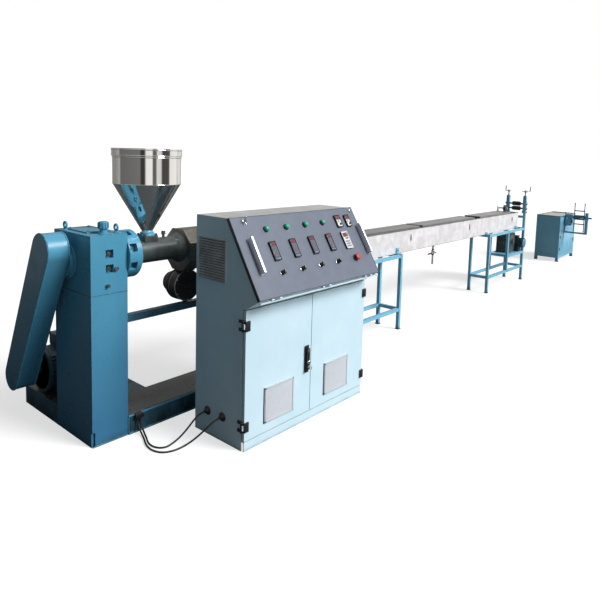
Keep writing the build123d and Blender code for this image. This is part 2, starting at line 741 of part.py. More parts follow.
def guide_wheel():
    """Grooved wheel over the trough's end, on a pin from its bracket."""
    wheel = rod_y((GUIDE_WHEEL_X, LINE_Y - 15, GUIDE_WHEEL_Z), 30, GUIDE_WHEEL_RADIUS)
    groove_ring = Torus(GUIDE_WHEEL_RADIUS + 2, 7)
    groove = Pos(GUIDE_WHEEL_X, LINE_Y, GUIDE_WHEEL_Z) * Rot(90, 0, 0) * groove_ring
    bore = rod_y((GUIDE_WHEEL_X, LINE_Y - 30, GUIDE_WHEEL_Z), 60, GUIDE_PIN_RADIUS + RUNNING_CLEARANCE)
    return wheel - groove - bore


SHELF_TOP = 390


def motor_shelf():
    """Shelf between the second stand's middle posts and right legs."""
    left = STAND_2_MIDDLE + STAND_TUBE / 2
    right = STAND_2_RIGHT - STAND_TUBE / 2
    return block((left, STAND_FRONT, SHELF_TOP - 30), (right, STAND_BACK + STAND_TUBE, SHELF_TOP))


def haul_off_drive():
    """Geared motor on a shelf between the second stand's posts."""
    nodes = {}
    box_left = 5745
    box_right = 5970
    wing_right = 6090
    wing_front = 110
    box_back = 178
    tall = block((box_left, 22, SHELF_TOP), (box_right, box_back, 639))
    wing = block((box_right, wing_front, SHELF_TOP), (wing_right, box_back, 590))
    nodes["haul_off_gearbox"] = tall + wing
    x = 6036
    z = 507
    front = -78
    fan_length = 34
    body_front = front + fan_length
    fan_cover = rod_y((x, front, z), fan_length, 62)
    body = rod_y((x, body_front, z), wing_front - body_front, 58)
    foot = block((x - 45, -20, SHELF_TOP), (x + 45, 90, z - 40))
    nodes["haul_off_motor"] = body + foot + fan_cover
    return nodes


OUTRIGGER_X = 8140
SPINDLE_Z = 710
SPINDLE_RADIUS = 12
REEL_PLANES = (-101, -246)
REEL_RADIUS = 228
OUTER_POST_Y = -304
OUTRIGGER_BOTTOM = 450
OUTRIGGER_TOP = 785


def winder_cabinet():
    """Closed cabinet on four short feet, with the reel spindle's socket."""
    foot = 60
    body_low = (WINDER_LEFT, WINDER_FRONT, foot)
    body = block(body_low, (WINDER_RIGHT, WINDER_FRONT + WINDER_DEPTH, WINDER_TOP - 16))
    legs = []
    for x in (WINDER_LEFT, WINDER_RIGHT - TUBE):
        for y in (WINDER_FRONT, WINDER_FRONT + WINDER_DEPTH - TUBE):
            legs.append(block((x, y, 0), (x + TUBE, y + TUBE, foot)))
    return join([body - spindle_socket()] + legs)


def winder_tray():
    """Shallow open tray that makes the winder's top."""
    tray_low = (WINDER_LEFT, WINDER_FRONT, WINDER_TOP - 16)
    tray = block(tray_low, (WINDER_RIGHT, WINDER_FRONT + WINDER_DEPTH, WINDER_TOP))
    rim = 6
    inside_low = (WINDER_LEFT + rim, WINDER_FRONT + rim, WINDER_TOP - 12)
    inside_high = (WINDER_RIGHT - rim, WINDER_FRONT + WINDER_DEPTH - rim, WINDER_TOP + 1)
    return tray - block(inside_low, inside_high) - spindle_socket()


def spindle_socket():
    start = (OUTRIGGER_X, WINDER_FRONT - 1, SPINDLE_Z)
    return rod_y(start, 41, SPINDLE_RADIUS + RUNNING_CLEARANCE)


def reel_frame():
    """U-shaped outrigger: a plate on the cabinet, its bearing block, a bar and the outer post."""
    x = OUTRIGGER_X
    half = 20
    plate = block((x - half, WINDER_FRONT - 10, OUTRIGGER_BOTTOM), (x + half, WINDER_FRONT, OUTRIGGER_TOP))
    bearing = block((x - 30, WINDER_FRONT - 106, 688), (x + 30, WINDER_FRONT - 10, 752))
    boss = rod_y((x, WINDER_FRONT - 110, 640), 100, 28)
    outer = block((x - half, OUTER_POST_Y, OUTRIGGER_BOTTOM), (x + half, OUTER_POST_Y + 40, OUTRIGGER_TOP))
    bar_high = (x + 15, WINDER_FRONT - 10, OUTRIGGER_BOTTOM + 26)
    bar = block((x - 15, OUTER_POST_Y + 40, OUTRIGGER_BOTTOM), bar_high)
    hole_length = WINDER_FRONT - OUTER_POST_Y + 2
    hole = rod_y((x, OUTER_POST_Y - 1, SPINDLE_Z), hole_length, SPINDLE_RADIUS + RUNNING_CLEARANCE)
    return join([plate, bearing, boss, outer, bar]) - hole


def winding_reel():
    """Spindle and hub with two crosses of flat arms, joined by four bars."""
    x = OUTRIGGER_X
    z = SPINDLE_Z
    inner, outer = REEL_PLANES
    spindle_start = OUTER_POST_Y - 50
    spindle = rod_y((x, spindle_start, z), WINDER_FRONT + 38 - spindle_start, SPINDLE_RADIUS)
    hub = rod_y((x, outer - 6, z), inner - outer + 12, 38)
    pieces = [spindle, hub]
    for y in REEL_PLANES:
        pieces.append(block((x - 11, y - 4, z - REEL_RADIUS), (x + 11, y + 4, z + REEL_RADIUS)))
        pieces.append(block((x - REEL_RADIUS, y - 4, z - 11), (x + REEL_RADIUS, y + 4, z + 11)))
    bar_reach = 105
    for angle in range(0, 360, 90):
        dx = bar_reach * math.cos(math.radians(angle))
        dz = bar_reach * math.sin(math.radians(angle))
        pieces.append(rod_y((x + dx, outer, z + dz), inner - outer, 8))
    return join(pieces)


def write(nodes):
    os.makedirs("parts", exist_ok=True)
    for name, shape in nodes.items():
        export_step(ROW_FRAME * shape, f"parts/{name}.step")


def main():
    nodes = {}
    nodes["base_frame"] = base_frame()
    nodes["gearbox_column"] = column()
    nodes["gearbox_housing"] = gearbox_housing()
    nodes["gearbox_fittings"] = gearbox_fittings()
    nodes["thrust_housing"] = thrust_housing()
    nodes["belt_guard"] = belt_guard()
    nodes["drive_motor"] = drive_motor()
    nodes["feed_section"] = feed_section()
    nodes["hopper_throat"] = hopper_throat()
    nodes["hopper_body"] = hopper_body()
    nodes["hopper_lid"] = hopper_lid()
    nodes["barrel_cover"] = barrel_cover()
    nodes["die_head"] = die_head()
    nodes["cooling_blowers"] = join([cooling_blower(number) for number in range(3)])
    nodes["barrel_support"] = barrel_support()
    for name in CABLE_ROUTES:
        nodes[name] = cable(name)
    nodes.update(cabinet_shell())
    middle = (CABINET_LEFT + CABINET_RIGHT) / 2
    door_gap = GAP / 2
    left_door = cabinet_door(CABINET_LEFT + 2, middle - door_gap, LEFT_HINGE, 1, LEFT_VENT_MIDDLE)
    right_door = cabinet_door(middle + door_gap, CABINET_RIGHT - 2, RIGHT_HINGE, -1, RIGHT_VENT_MIDDLE)
    nodes["left_door"], nodes["left_door_vent"] = left_door
    nodes["right_door"], nodes["right_door_vent"] = right_door
    nodes["door_hinges"] = door_hinges()
    nodes["lock_plate"], nodes["lock_handle"] = door_lock()
    nodes.update(control_panel())
    nodes["cable_glands"] = cable_glands()
    nodes["trough"] = trough()
    nodes["trough_covers"] = trough_covers()
    nodes["drain_pipe"], nodes["drain_lever"] = drain()
    leg_top = TROUGH_BOTTOM - STAND_TUBE
    half = STAND_TUBE / 2
    nodes["stand_1_legs"] = stand_legs(STAND_1_LEFT, STAND_1_RIGHT, leg_top, ())
    nodes["stand_1_rails"] = join(stand_rails(STAND_1_LEFT, STAND_1_RIGHT, STAND_1_RIGHT + half))
    middles = ((STAND_2_MIDDLE, LOW_RAIL + STAND_TUBE),)
    nodes["stand_2_legs"] = stand_legs(STAND_2_LEFT, STAND_2_RIGHT, TALL_LEG, middles)
    crossbar_z = 826
    crossbar_low = (STAND_2_RIGHT - half, STAND_FRONT + STAND_TUBE, crossbar_z)
    crossbar = block(crossbar_low, (STAND_2_RIGHT + half, STAND_BACK, crossbar_z + STAND_TUBE))
    stand_2_rails = stand_rails(STAND_2_LEFT, STAND_2_RIGHT, STAND_2_RIGHT - half)
    nodes["stand_2_rails"] = join(stand_2_rails + [motor_shelf(), crossbar])
    nodes.update(haul_off())
    nodes["guide_wheel"] = guide_wheel()
    nodes.update(haul_off_drive())
    nodes["winder_cabinet"] = winder_cabinet()
    nodes["winder_tray"] = winder_tray()
    nodes["reel_frame"] = reel_frame()
    nodes["winding_reel"] = winding_reel()
    write(nodes)


main()
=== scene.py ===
import math

import bmesh
import bpy
from mathutils import Matrix, Vector


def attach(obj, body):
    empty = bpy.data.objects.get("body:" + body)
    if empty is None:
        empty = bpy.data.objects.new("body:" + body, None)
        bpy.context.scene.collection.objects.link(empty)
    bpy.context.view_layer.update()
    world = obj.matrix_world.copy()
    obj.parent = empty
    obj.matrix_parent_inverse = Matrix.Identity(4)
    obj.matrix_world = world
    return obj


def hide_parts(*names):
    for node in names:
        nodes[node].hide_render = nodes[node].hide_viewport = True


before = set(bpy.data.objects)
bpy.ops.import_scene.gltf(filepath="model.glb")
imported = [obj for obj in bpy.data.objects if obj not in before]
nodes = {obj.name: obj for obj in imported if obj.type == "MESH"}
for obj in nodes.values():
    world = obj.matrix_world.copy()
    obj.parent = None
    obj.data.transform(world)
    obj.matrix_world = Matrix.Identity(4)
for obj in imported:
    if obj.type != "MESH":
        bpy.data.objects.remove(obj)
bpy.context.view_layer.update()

# Places are written in millimetres from the extruder column's front left foot,
# as in the part's source. row() moves them to the frame, in metres.
MIDDLE_X = 4271.5
MIDDLE_Y = 51.25
ROW = Matrix.Scale(0.001, 4) @ Matrix.Translation((-MIDDLE_X, -MIDDLE_Y, 0))
PANEL_RUN = 247.0
PANEL_RISE = 402.0
PANEL_LENGTH = math.hypot(PANEL_RUN, PANEL_RISE)
PANEL_SLOPE = math.atan2(PANEL_RISE, PANEL_RUN)
PANEL = ROW @ Matrix.Translation((530, -708, 844)) @ Matrix.Rotation(PANEL_SLOPE, 4, "X")
LINE_Y = 106
LINE_HEIGHT = 1010
LINE = (LINE_Y, LINE_HEIGHT)


def row(x, y, z):
    return ROW @ Vector((x, y, z))


def rotation(degrees, axis):
    return Matrix.Rotation(math.radians(degrees), 4, axis)


def around(count, start=0.0):
    return [start + 2 * math.pi * number / count for number in range(count)]


def turns(centre, axis, count, start=0.0):
    """Matrices for count copies spread evenly round an axis through centre."""
    return [Matrix.Translation(centre) @ Matrix.Rotation(angle, 4, axis) for angle in around(count, start)]


def corners(xs, ys):
    return [(x, y) for y in ys for x in xs]


def add(name, data):
    made = bpy.data.objects.new(name, data)
    bpy.context.scene.collection.objects.link(made)
    return made


# Materials.


class Tree:
    """A node tree with short names for the nodes that materials and surround share."""

    def __init__(self, owner):
        owner.use_nodes = True
        self.tree = owner.node_tree

    def node(self, kind, **values):
        made = self.tree.nodes.new(kind)
        for name, value in values.items():
            setattr(made, name, value)
        return made

    def feed(self, socket, value):
        if isinstance(value, bpy.types.NodeSocket):
            self.tree.links.new(value, socket)
        elif isinstance(value, tuple) and len(value) == 3 and socket.type == "RGBA":
            socket.default_value = (*value, 1)
        else:
            socket.default_value = value

    def fit(self, value, low, high, to_low=0.0, to_high=1.0):
        made = self.node("ShaderNodeMapRange")
        self.feed(made.inputs["Value"], value)
        for name, number in zip(("From Min", "From Max", "To Min", "To Max"), (low, high, to_low, to_high)):
            self.feed(made.inputs[name], number)
        return made.outputs["Result"]

    def maths(self, kind, first, second):
        made = self.node("ShaderNodeMath", operation=kind, use_clamp=True)
        self.feed(made.inputs[0], first)
        self.feed(made.inputs[1], second)
        return made.outputs["Value"]

    def mix(self, share, first, second):
        made = self.node("ShaderNodeMix", data_type="RGBA")
        self.feed(made.inputs["Factor"], share)
        self.feed(made.inputs[6], first)
        self.feed(made.inputs[7], second)
        return made.outputs[2]

    def along(self, axis, vector):
        split = self.node("ShaderNodeSeparateXYZ")
        self.feed(split.inputs["Vector"], vector)
        return split.outputs[axis]


class Looks(Tree):
    """A material that is built up from its place on the machine."""

    def __init__(self, name):
        self.material = bpy.data.materials.new(name)
        super().__init__(self.material)
        self.shader = self.tree.nodes["Principled BSDF"]
        self.place = self.node("ShaderNodeTexCoord").outputs["Object"]

    def stretched(self, scale):
        mapping = self.node("ShaderNodeMapping")
        self.feed(mapping.inputs["Vector"], self.place)
        mapping.inputs["Scale"].default_value = scale
        return mapping.outputs["Vector"]

    def noise(self, scale, detail=5.0, stretch=None, rough=0.55):
        made = self.node("ShaderNodeTexNoise")
        self.feed(made.inputs["Vector"], self.stretched(stretch) if stretch else self.place)
        made.inputs["Scale"].default_value = scale
        made.inputs["Detail"].default_value = detail
        made.inputs["Roughness"].default_value = rough
        return made.outputs["Fac"]

    def height(self):
        return self.along("Z", self.place)

    def facing_up(self):
        normal = self.node("ShaderNodeTexCoord").outputs["Normal"]
        return self.fit(self.along("Z", normal), 0.6, 0.95)

    def rounded(self, radius):
        bevel = self.node("ShaderNodeBevel", samples=4)
        bevel.inputs["Radius"].default_value = radius
        return bevel.outputs["Normal"]

    def edges(self, radius):
        """1 on the part's sharp edges, 0 on its flats."""
        flat = self.node("ShaderNodeNewGeometry").outputs["Normal"]
        dot = self.node("ShaderNodeVectorMath", operation="DOT_PRODUCT")
        self.feed(dot.inputs[0], self.rounded(radius))
        self.feed(dot.inputs[1], flat)
        return self.fit(dot.outputs["Value"], 0.99, 0.90)

    def bump(self, value, distance, strength=0.5, before=None):
        made = self.node("ShaderNodeBump")
        self.feed(made.inputs["Height"], value)
        made.inputs["Distance"].default_value = distance
        made.inputs["Strength"].default_value = strength
        if before is not None:
            self.feed(made.inputs["Normal"], before)
        return made.outputs["Normal"]

    def done(self, colour, rough, metallic=0.0, normal=None, **fixed):
        self.feed(self.shader.inputs["Base Color"], colour)
        self.feed(self.shader.inputs["Roughness"], rough)
        self.feed(self.shader.inputs["Metallic"], metallic)
        if normal is not None:
            self.feed(self.shader.inputs["Normal"], normal)
        for name, value in fixed.items():
            self.feed(self.shader.inputs[name.replace("_", " ")], value)
        return self.material


def paint(
    name, base, faded, dirt, dirty=0.4, rough=(0.3, 0.55), wear=None, ground=0.12, blotch=5.0, dust=None,
    low=None,
):
    """Paint with faded blotches, runs and stains.

    Grime lies below the height ground, low is a darker colour towards the floor that paints shade there, dust
    lies on top, wear on the edges.
    """
    look = Looks(name)
    colour = look.mix(look.fit(look.noise(blotch, 6), 0.35, 0.68), base, faded)
    # Painted shade: the colour darkens towards the floor.
    if low:
        colour = look.mix(look.fit(look.height(), 0.1, 1.15), low, colour)
    runs = look.fit(look.noise(1.0, 7, stretch=(34, 34, 2.2)), 0.52, 0.75)
    stains = look.fit(look.noise(26, 9, rough=0.7), 0.55, 0.8)
    skirt = look.fit(look.height(), ground, 0.0)
    spots = look.maths("MULTIPLY", look.maths("ADD", stains, runs), dirty)
    patches = look.fit(look.noise(14, 6), 0.3, 0.6, 0.1, 0.85)
    grime = look.maths("ADD", spots, look.maths("MULTIPLY", skirt, patches))
    colour = look.mix(grime, colour, dirt)
    if dust:
        cloudy = look.fit(look.noise(11, 7, rough=0.65), 0.3, 0.62, 0.45, 1.0)
        colour = look.mix(look.maths("MULTIPLY", look.facing_up(), cloudy), colour, dust)
    if wear:
        broken = look.fit(look.noise(55, 6), 0.42, 0.58)
        chips = look.maths("MULTIPLY", look.edges(0.004), broken)
        colour = look.mix(chips, colour, wear)
    shine = look.fit(look.noise(9, 6), 0.3, 0.7, *rough)
    peel = look.bump(look.noise(420, 3), 0.0004, 0.25, look.rounded(0.0015))
    return look.done(colour, shine, normal=look.bump(look.noise(12, 4), 0.004, 0.12, peel))


def metal(name, base, tint, rough=(0.22, 0.4), grain=(2, 160, 160), marks=0.3, mark=(0.2, 0.18, 0.16)):
    """Bare metal with a brushed grain along one axis, smears and a few darker marks."""
    look = Looks(name)
    lines = look.noise(1.0, 4, stretch=grain)
    colour = look.mix(look.fit(lines, 0.3, 0.7), base, tint)
    smears = look.fit(look.noise(7, 8, rough=0.65), 0.5, 0.8)
    colour = look.mix(look.maths("MULTIPLY", smears, marks), colour, mark)
    shine = look.fit(look.noise(5, 6), 0.3, 0.7, *rough)
    return look.done(colour, shine, 1.0, look.bump(lines, 0.0005, 0.2, look.rounded(0.0012)))


def moulded(name, base, tint, rough=(0.35, 0.55), grain=600.0, depth=0.0002):
    """Plastic or rubber with a fine moulded grain and slightly uneven colour."""
    look = Looks(name)
    colour = look.mix(look.fit(look.noise(30, 5), 0.3, 0.7), base, tint)
    shine = look.fit(look.noise(18, 5), 0.3, 0.7, *rough)
    return look.done(colour, shine, normal=look.bump(look.noise(grain, 2), depth, 0.3, look.rounded(0.0006)))


def display(name, base, lit, glow):
    """Smoked window over small lit segments."""
    look = Looks(name)
    segments = look.noise(1.0, 1, stretch=(420, 160, 160))
    colour = look.mix(look.fit(segments, 0.45, 0.6), base, lit)
    smudge = look.fit(look.noise(60, 5), 0.3, 0.7, 0.08, 0.22)
    made = look.done(colour, smudge, normal=look.bump(look.noise(200, 2), 0.0001, 0.2))
    look.feed(look.shader.inputs["Emission Color"], lit)
    look.feed(look.shader.inputs["Emission Strength"], glow)
    return made


BLUE = (0.072, 0.30, 0.46)
FADED_BLUE = (0.085, 0.34, 0.50)
BLUE_DIRT = (0.03, 0.09, 0.13)
BLUE_WEAR = (0.05, 0.09, 0.11)
# One look for each material slot of the part, under the slot's name.
SLOT_LOOKS = (
    paint(
        "machine_blue", BLUE, FADED_BLUE, BLUE_DIRT, 0.08, (0.22, 0.42), wear=BLUE_WEAR, ground=0.05,
    ),
    paint("dark_blue_enamel", (0.02, 0.05, 0.075), (0.03, 0.075, 0.11), (0.02, 0.02, 0.02)),
    paint(
        "dark_iron", (0.045, 0.06, 0.058), (0.08, 0.10, 0.095), (0.015, 0.015, 0.012), 0.6, (0.22, 0.5),
        blotch=18.0,
    ),
    metal("stainless", (0.80, 0.79, 0.77), (0.90, 0.89, 0.88), (0.3, 0.5), marks=0.15),
    metal(
        "polished_stainless", (0.80, 0.79, 0.77), (0.84, 0.83, 0.82), (0.03, 0.07), (60, 60, 1.5), 0.06
    ),
    paint("black_enamel", (0.012, 0.012, 0.014), (0.02, 0.02, 0.022), (0.04, 0.035, 0.03), 0.25),
    paint(
        "cabinet_paint", (0.56, 0.75, 0.84), (0.61, 0.79, 0.88), (0.32, 0.40, 0.44), 0.05, (0.32, 0.5),
        ground=0.02, dust=(0.50, 0.47, 0.43),
    ),
    moulded("vent_plastic", (0.50, 0.53, 0.58), (0.54, 0.57, 0.61)),
    paint(
        "panel_paint", (0.125, 0.150, 0.205), (0.135, 0.160, 0.215), (0.11, 0.13, 0.18), 0.03, (0.42, 0.5),
        ground=-1,
    ),
    moulded("black_plastic", (0.012, 0.012, 0.014), (0.02, 0.02, 0.022), (0.3, 0.45)),
    moulded("green_plastic", (0.02, 0.42, 0.24), (0.03, 0.50, 0.30), (0.15, 0.25)),
    moulded("red_plastic", (0.50, 0.035, 0.045), (0.56, 0.05, 0.06), (0.4, 0.55)),
    moulded("cable_rubber", (0.012, 0.012, 0.013), (0.025, 0.024, 0.022), (0.45, 0.65), 900.0),
    moulded("roller_rubber", (0.014, 0.014, 0.014), (0.03, 0.03, 0.028), (0.5, 0.7), 500.0),
    metal("bright_steel", (0.45, 0.44, 0.41), (0.60, 0.58, 0.54), (0.25, 0.45), (90, 90, 90), 0.5),
)
LOOKS = {look.name.split(".")[0]: look for look in SLOT_LOOKS}
CHROME = metal("chrome", (0.72, 0.72, 0.73), (0.82, 0.82, 0.83), (0.08, 0.2), (90, 90, 90), 0.2)
WHITE_PLASTIC = moulded("white_plastic", (0.66, 0.66, 0.64), (0.74, 0.74, 0.72), (0.3, 0.45))
GREY_KEYS = moulded("grey_keys", (0.16, 0.20, 0.30), (0.22, 0.27, 0.38), (0.35, 0.5))
RED_DISPLAY = display("red_display", (0.07, 0.03, 0.04), (0.30, 0.05, 0.07), 0.08)
# Dark colour for the painted shade between the louvre slats.
PAINTED_GAP_SHADE = moulded("painted_gap_shade", (0.10, 0.105, 0.10), (0.13, 0.13, 0.125), (0.5, 0.7))
GREY_DISPLAY = display("grey_display", (0.085, 0.085, 0.115), (0.15, 0.14, 0.19), 0.05)
DARK_BLUE = paint(
    "dark_blue_paint", (0.035, 0.11, 0.17), (0.05, 0.16, 0.24), (0.02, 0.03, 0.035), 0.5, (0.25, 0.5),
    blotch=9.0,
)
DARK_COVER = metal(
    "dark_cover", (0.20, 0.19, 0.165), (0.27, 0.25, 0.22), (0.2, 0.4), (3, 90, 90), 0.8, (0.06, 0.055, 0.05)
)
# Painted reflection: the stainless trough is drawn as pale paint, not metal, standing for its bright sheen.
TROUGH_PAINTED_SHEEN = paint(
    "trough_painted_sheen", (0.84, 0.83, 0.86), (0.88, 0.87, 0.90), (0.62, 0.60, 0.60), 0.03, (0.3, 0.45), ground=-1
)
GREY_COVERS = metal(
    "grey_covers", (0.30, 0.30, 0.30), (0.42, 0.42, 0.42), (0.3, 0.5), (2, 120, 120), 0.5, (0.14, 0.13, 0.12)
)
DUSTY_SLATS = paint(
    "dusty_slats", (0.50, 0.53, 0.52), (0.56, 0.60, 0.59), (0.30, 0.29, 0.27), 0.3, (0.5, 0.7),
    ground=-1, blotch=30.0,
)
# Machine blue with painted shade that darkens it towards the floor.
COLUMN_BLUE_SHADED_LOW = paint(
    "column_blue_shaded_low", BLUE, FADED_BLUE, BLUE_DIRT, 0.05, (0.22, 0.42), wear=BLUE_WEAR, ground=0.05,
    low=(0.040, 0.17, 0.31),
)
LIGHT_BLUE = paint(
    "light_blue", (0.19, 0.48, 0.66), (0.22, 0.52, 0.70), (0.05, 0.13, 0.18), 0.1, (0.25, 0.45),
    wear=(0.06, 0.12, 0.15), ground=0.05,
)
# Nodes that have a shade of their own under the slot they keep.
OWN_LOOKS = (
    (LIGHT_BLUE, ("stand_1_legs", "stand_1_rails", "stand_2_legs", "stand_2_rails")),
    (LIGHT_BLUE, ("haul_off_posts", "winder_cabinet", "reel_frame")),
    (COLUMN_BLUE_SHADED_LOW, ("gearbox_column", "gearbox_housing", "belt_guard")),
    (DARK_BLUE, ("base_frame", "barrel_support", "winding_reel")),
    (DARK_COVER, ("barrel_cover",)),
    (TROUGH_PAINTED_SHEEN, ("trough",)),
    (GREY_COVERS, ("trough_covers",)),
    (LOOKS["dark_iron"], ("guide_wheel",)),
)
# Near-black plates on the base tops, under the barrel and under the motor.
DARK_DECK = paint(
    "oily_deck", (0.03, 0.035, 0.035), (0.07, 0.08, 0.078), (0.012, 0.012, 0.01), 0.8, (0.15, 0.4), blotch=9.0
)

for mesh_object in nodes.values():
    for material_slot in mesh_object.material_slots:
        material_slot.material = LOOKS[material_slot.material.name.split(".")[0]]
for material, names in OWN_LOOKS:
    for name in names:
        nodes[name].material_slots[0].material = material


# Cords.

CABLE_DIAMETER = 0.010
CABLE_ROUTES = {
    "extruder_cable_1": [
        (518, -306, 139), (473, -306, 139), (432, -303, 112), (397, -290, 68), (356, -277, 30),
        (307, -273, 10), (267, -271, 6), (235, -239, 6), (228, -194, 6), (239, -150, 6), (260, -109, 6),
        (276, -66, 7), (283, -34, 26), (281, -13, 58), (281, -13, 86),
    ],
    "extruder_cable_2": [
        (518, -431, 142), (474, -431, 142), (442, -414, 110), (411, -384, 66), (374, -352, 26),
        (327, -336, 8), (275, -329, 6), (229, -305, 6), (205, -257, 6), (206, -202, 6), (221, -156, 6),
        (243, -112, 6), (259, -68, 7), (266, -34, 26), (265, -13, 58), (265, -13, 86),
    ],
}


def cable(name, points):
    curve = bpy.data.curves.new(name + "_sheath", "CURVE")
    curve.dimensions = "3D"
    spline = curve.splines.new("NURBS")
    spline.points.add(len(points) - 1)
    for point, place in zip(spline.points, points):
        point.co = (*row(*place), 1)
    spline.order_u = 3
    spline.use_endpoint_u = True
    spline.resolution_u = 12
    curve.bevel_depth = CABLE_DIAMETER / 2
    curve.bevel_resolution = 5
    curve.use_fill_caps = True
    made = add(name + "_sheath", curve)
    made.data.materials.append(LOOKS["cable_rubber"])
    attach(made, "plant")
    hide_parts(name)


for cable_name, route in CABLE_ROUTES.items():
    cable(cable_name, route)


# Tools for the forms.

# Matrices that turn the Z axis to the named one.
AXES = {
    "X": rotation(90, "Y"), "Y": rotation(-90, "X"), "Z": Matrix(),
    "-X": rotation(-90, "Y"), "-Y": rotation(90, "X"), "-Z": rotation(180, "X"),
}
# Edges bend by more than this where they are bevelled (radians) and where they stay sharp (degrees).
BEVEL_FROM = 0.7
SHARP_FROM = 38


class Form:
    """Closed forms gathered into one piece, in millimetres of the frame given by place."""

    def __init__(self, place=ROW):
        self.mesh = bmesh.new()
        self.place = place

    def soften(self, verts, width):
        """Bevel the edges that bend sharply."""
        if width <= 0:
            return
        self.mesh.normal_update()
        edges = {edge for vert in verts for edge in vert.link_edges if edge.calc_face_angle(0) > BEVEL_FROM}
        bmesh.ops.bevel(
            self.mesh, geom=list(edges), offset=width, segments=2, profile=0.6, affect="EDGES"
        )

    def box(self, low, high, width=1.0, turn=None):
        """Box between two corners with its edges rounded by width, moved by turn."""
        size = [abs(b - a) for a, b in zip(low, high)]
        middle = [(a + b) / 2 for a, b in zip(low, high)]
        matrix = Matrix.Translation(middle) @ Matrix.Diagonal((*size, 1))
        if turn is not None:
            matrix = turn @ matrix
        made = bmesh.ops.create_cube(self.mesh, size=1, matrix=matrix)
        self.soften(made["verts"], min(width, 0.4 * min(size)))

    def rod(self, axis, start, length, radius, end_radius=None, sides=32, width=0.8, turn=None):
        far = radius if end_radius is None else end_radius
        matrix = Matrix.Translation(start) @ AXES[axis] @ Matrix.Translation((0, 0, length / 2))
        if sides == 8:
            matrix = matrix @ rotation(22.5, "Z")
        if turn is not None:
            matrix = turn @ matrix
        made = bmesh.ops.create_cone(
            self.mesh, cap_ends=True, cap_tris=False, segments=sides, radius1=radius, radius2=far,
            depth=length, matrix=matrix,
        )
        self.soften(made["verts"], min(width, 0.3 * length))

    def bolt(self, axis, start, radius=7.0, height=7.0, turn=None):
        """Hexagon head on a washer."""
        along = (AXES[axis] @ Vector((0, 0, 1))) * 1.6
        self.rod(axis, start, 1.6, radius * 1.45, sides=20, width=0.3, turn=turn)
        self.rod(axis, Vector(start) + along, height, radius, sides=6, width=0.9, turn=turn)

    def turned(self, axis, centre, outline, sides=40, turn=None):
        """Outline pairs are (distance along the axis, radius), from one end to the other."""
        matrix = Matrix.Translation(centre) @ AXES[axis]
        if turn is not None:
            matrix = turn @ matrix
        rings = []
        for along, radius in outline:
            ring = []
            for angle in around(sides):
                place = (radius * math.cos(angle), radius * math.sin(angle), along)
                ring.append(self.mesh.verts.new(matrix @ Vector(place)))
            rings.append(ring)
        self.skin(rings)
        self.cap(rings)

    def skin(self, rings):
        for first, second in zip(rings, rings[1:]):
            for number in range(len(first)):
                after = (number + 1) % len(first)
                self.mesh.faces.new((first[number], first[after], second[after], second[number]))

    def cap(self, rings):
        self.mesh.faces.new(reversed(rings[0]))
        self.mesh.faces.new(rings[-1])

    def tube(self, points, radius, closed=False, sides=8, ripple=0.0):
        """Round bar or weld bead along points."""
        points = [Vector(point) for point in points]
        count = len(points)
        rings = []
        side = None
        for number, point in enumerate(points):
            after = points[(number + 1) % count] if closed or number < count - 1 else point
            before = points[number - 1] if closed or number > 0 else point
            ahead = (after - before).normalized()
            if side is None:
                side = ahead.orthogonal().normalized()
            side = (side - ahead * side.dot(ahead)).normalized()
            other = ahead.cross(side)
            swell = radius * (1 + ripple * math.sin(2.7 * number) * math.cos(0.9 * number))
            ring = []
            for angle in around(sides):
                place = point + side * swell * math.cos(angle) + other * swell * math.sin(angle)
                ring.append(self.mesh.verts.new(place))
            rings.append(ring)
        self.skin(rings)
        if closed:
            self.close_loop(rings[-1], rings[0])
        else:
            self.cap(rings)

    def close_loop(self, last, first):
        """Join the last ring to the first, from the pair of corners that lie nearest."""
        sides = len(first)
        step = min(range(sides), key=lambda k: (first[k].co - last[0].co).length)
        for number in range(sides):
            a, b = last[number], last[(number + 1) % sides]
            c, d = first[(number + 1 + step) % sides], first[(number + step) % sides]
            self.mesh.faces.new((a, b, c, d))

    def ring(self, axis, centre, radius, wire, sides=40):
        matrix = Matrix.Translation(centre) @ AXES[axis]
        points = [matrix @ Vector((radius * math.cos(a), radius * math.sin(a), 0)) for a in around(sides)]
        self.tube(points, wire, closed=True)

    def bead(self, start, end, radius=2.6, step=7.0):
        """Weld bead with a rippled surface."""
        start = Vector(start)
        end = Vector(end)
        count = max(3, int((end - start).length / step))
        points = [start.lerp(end, number / count) for number in range(count + 1)]
        self.tube(points, radius, sides=6, ripple=0.35)

    def done(self, name, body, slot, material=None, replaces=()):
        bmesh.ops.recalc_face_normals(self.mesh, faces=self.mesh.faces[:])
        bmesh.ops.transform(self.mesh, matrix=self.place, verts=self.mesh.verts[:])
        mesh = bpy.data.meshes.new(name)
        self.mesh.to_mesh(mesh)
        self.mesh.free()
        mesh.shade_smooth()
        mesh.set_sharp_from_angle(angle=math.radians(SHARP_FROM))
        mesh.materials.append(material or LOOKS[slot])
        piece = add(name, mesh)
        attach(piece, body)
        for node in replaces:
            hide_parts(node)


# Extruder.

# Axes that run along X, as (y, z).
MOTOR = (654, 251)
BEARING = (240, 983)
GUARD_TOP = Vector((246, 1050))
GUARD_LOW = Vector(MOTOR)
# Axes that run upwards, as (x, y).
FILLER = (105, 56)
HOPPER = (408, LINE_Y)
# Where the blowers stand along the line, and how high their axes are.
BLOWERS = (692, 1067, 1442)
BLOWER_HEIGHT = 761
# Steps in each of the two bends of the belt guard's outline.
GUARD_STEPS = 24


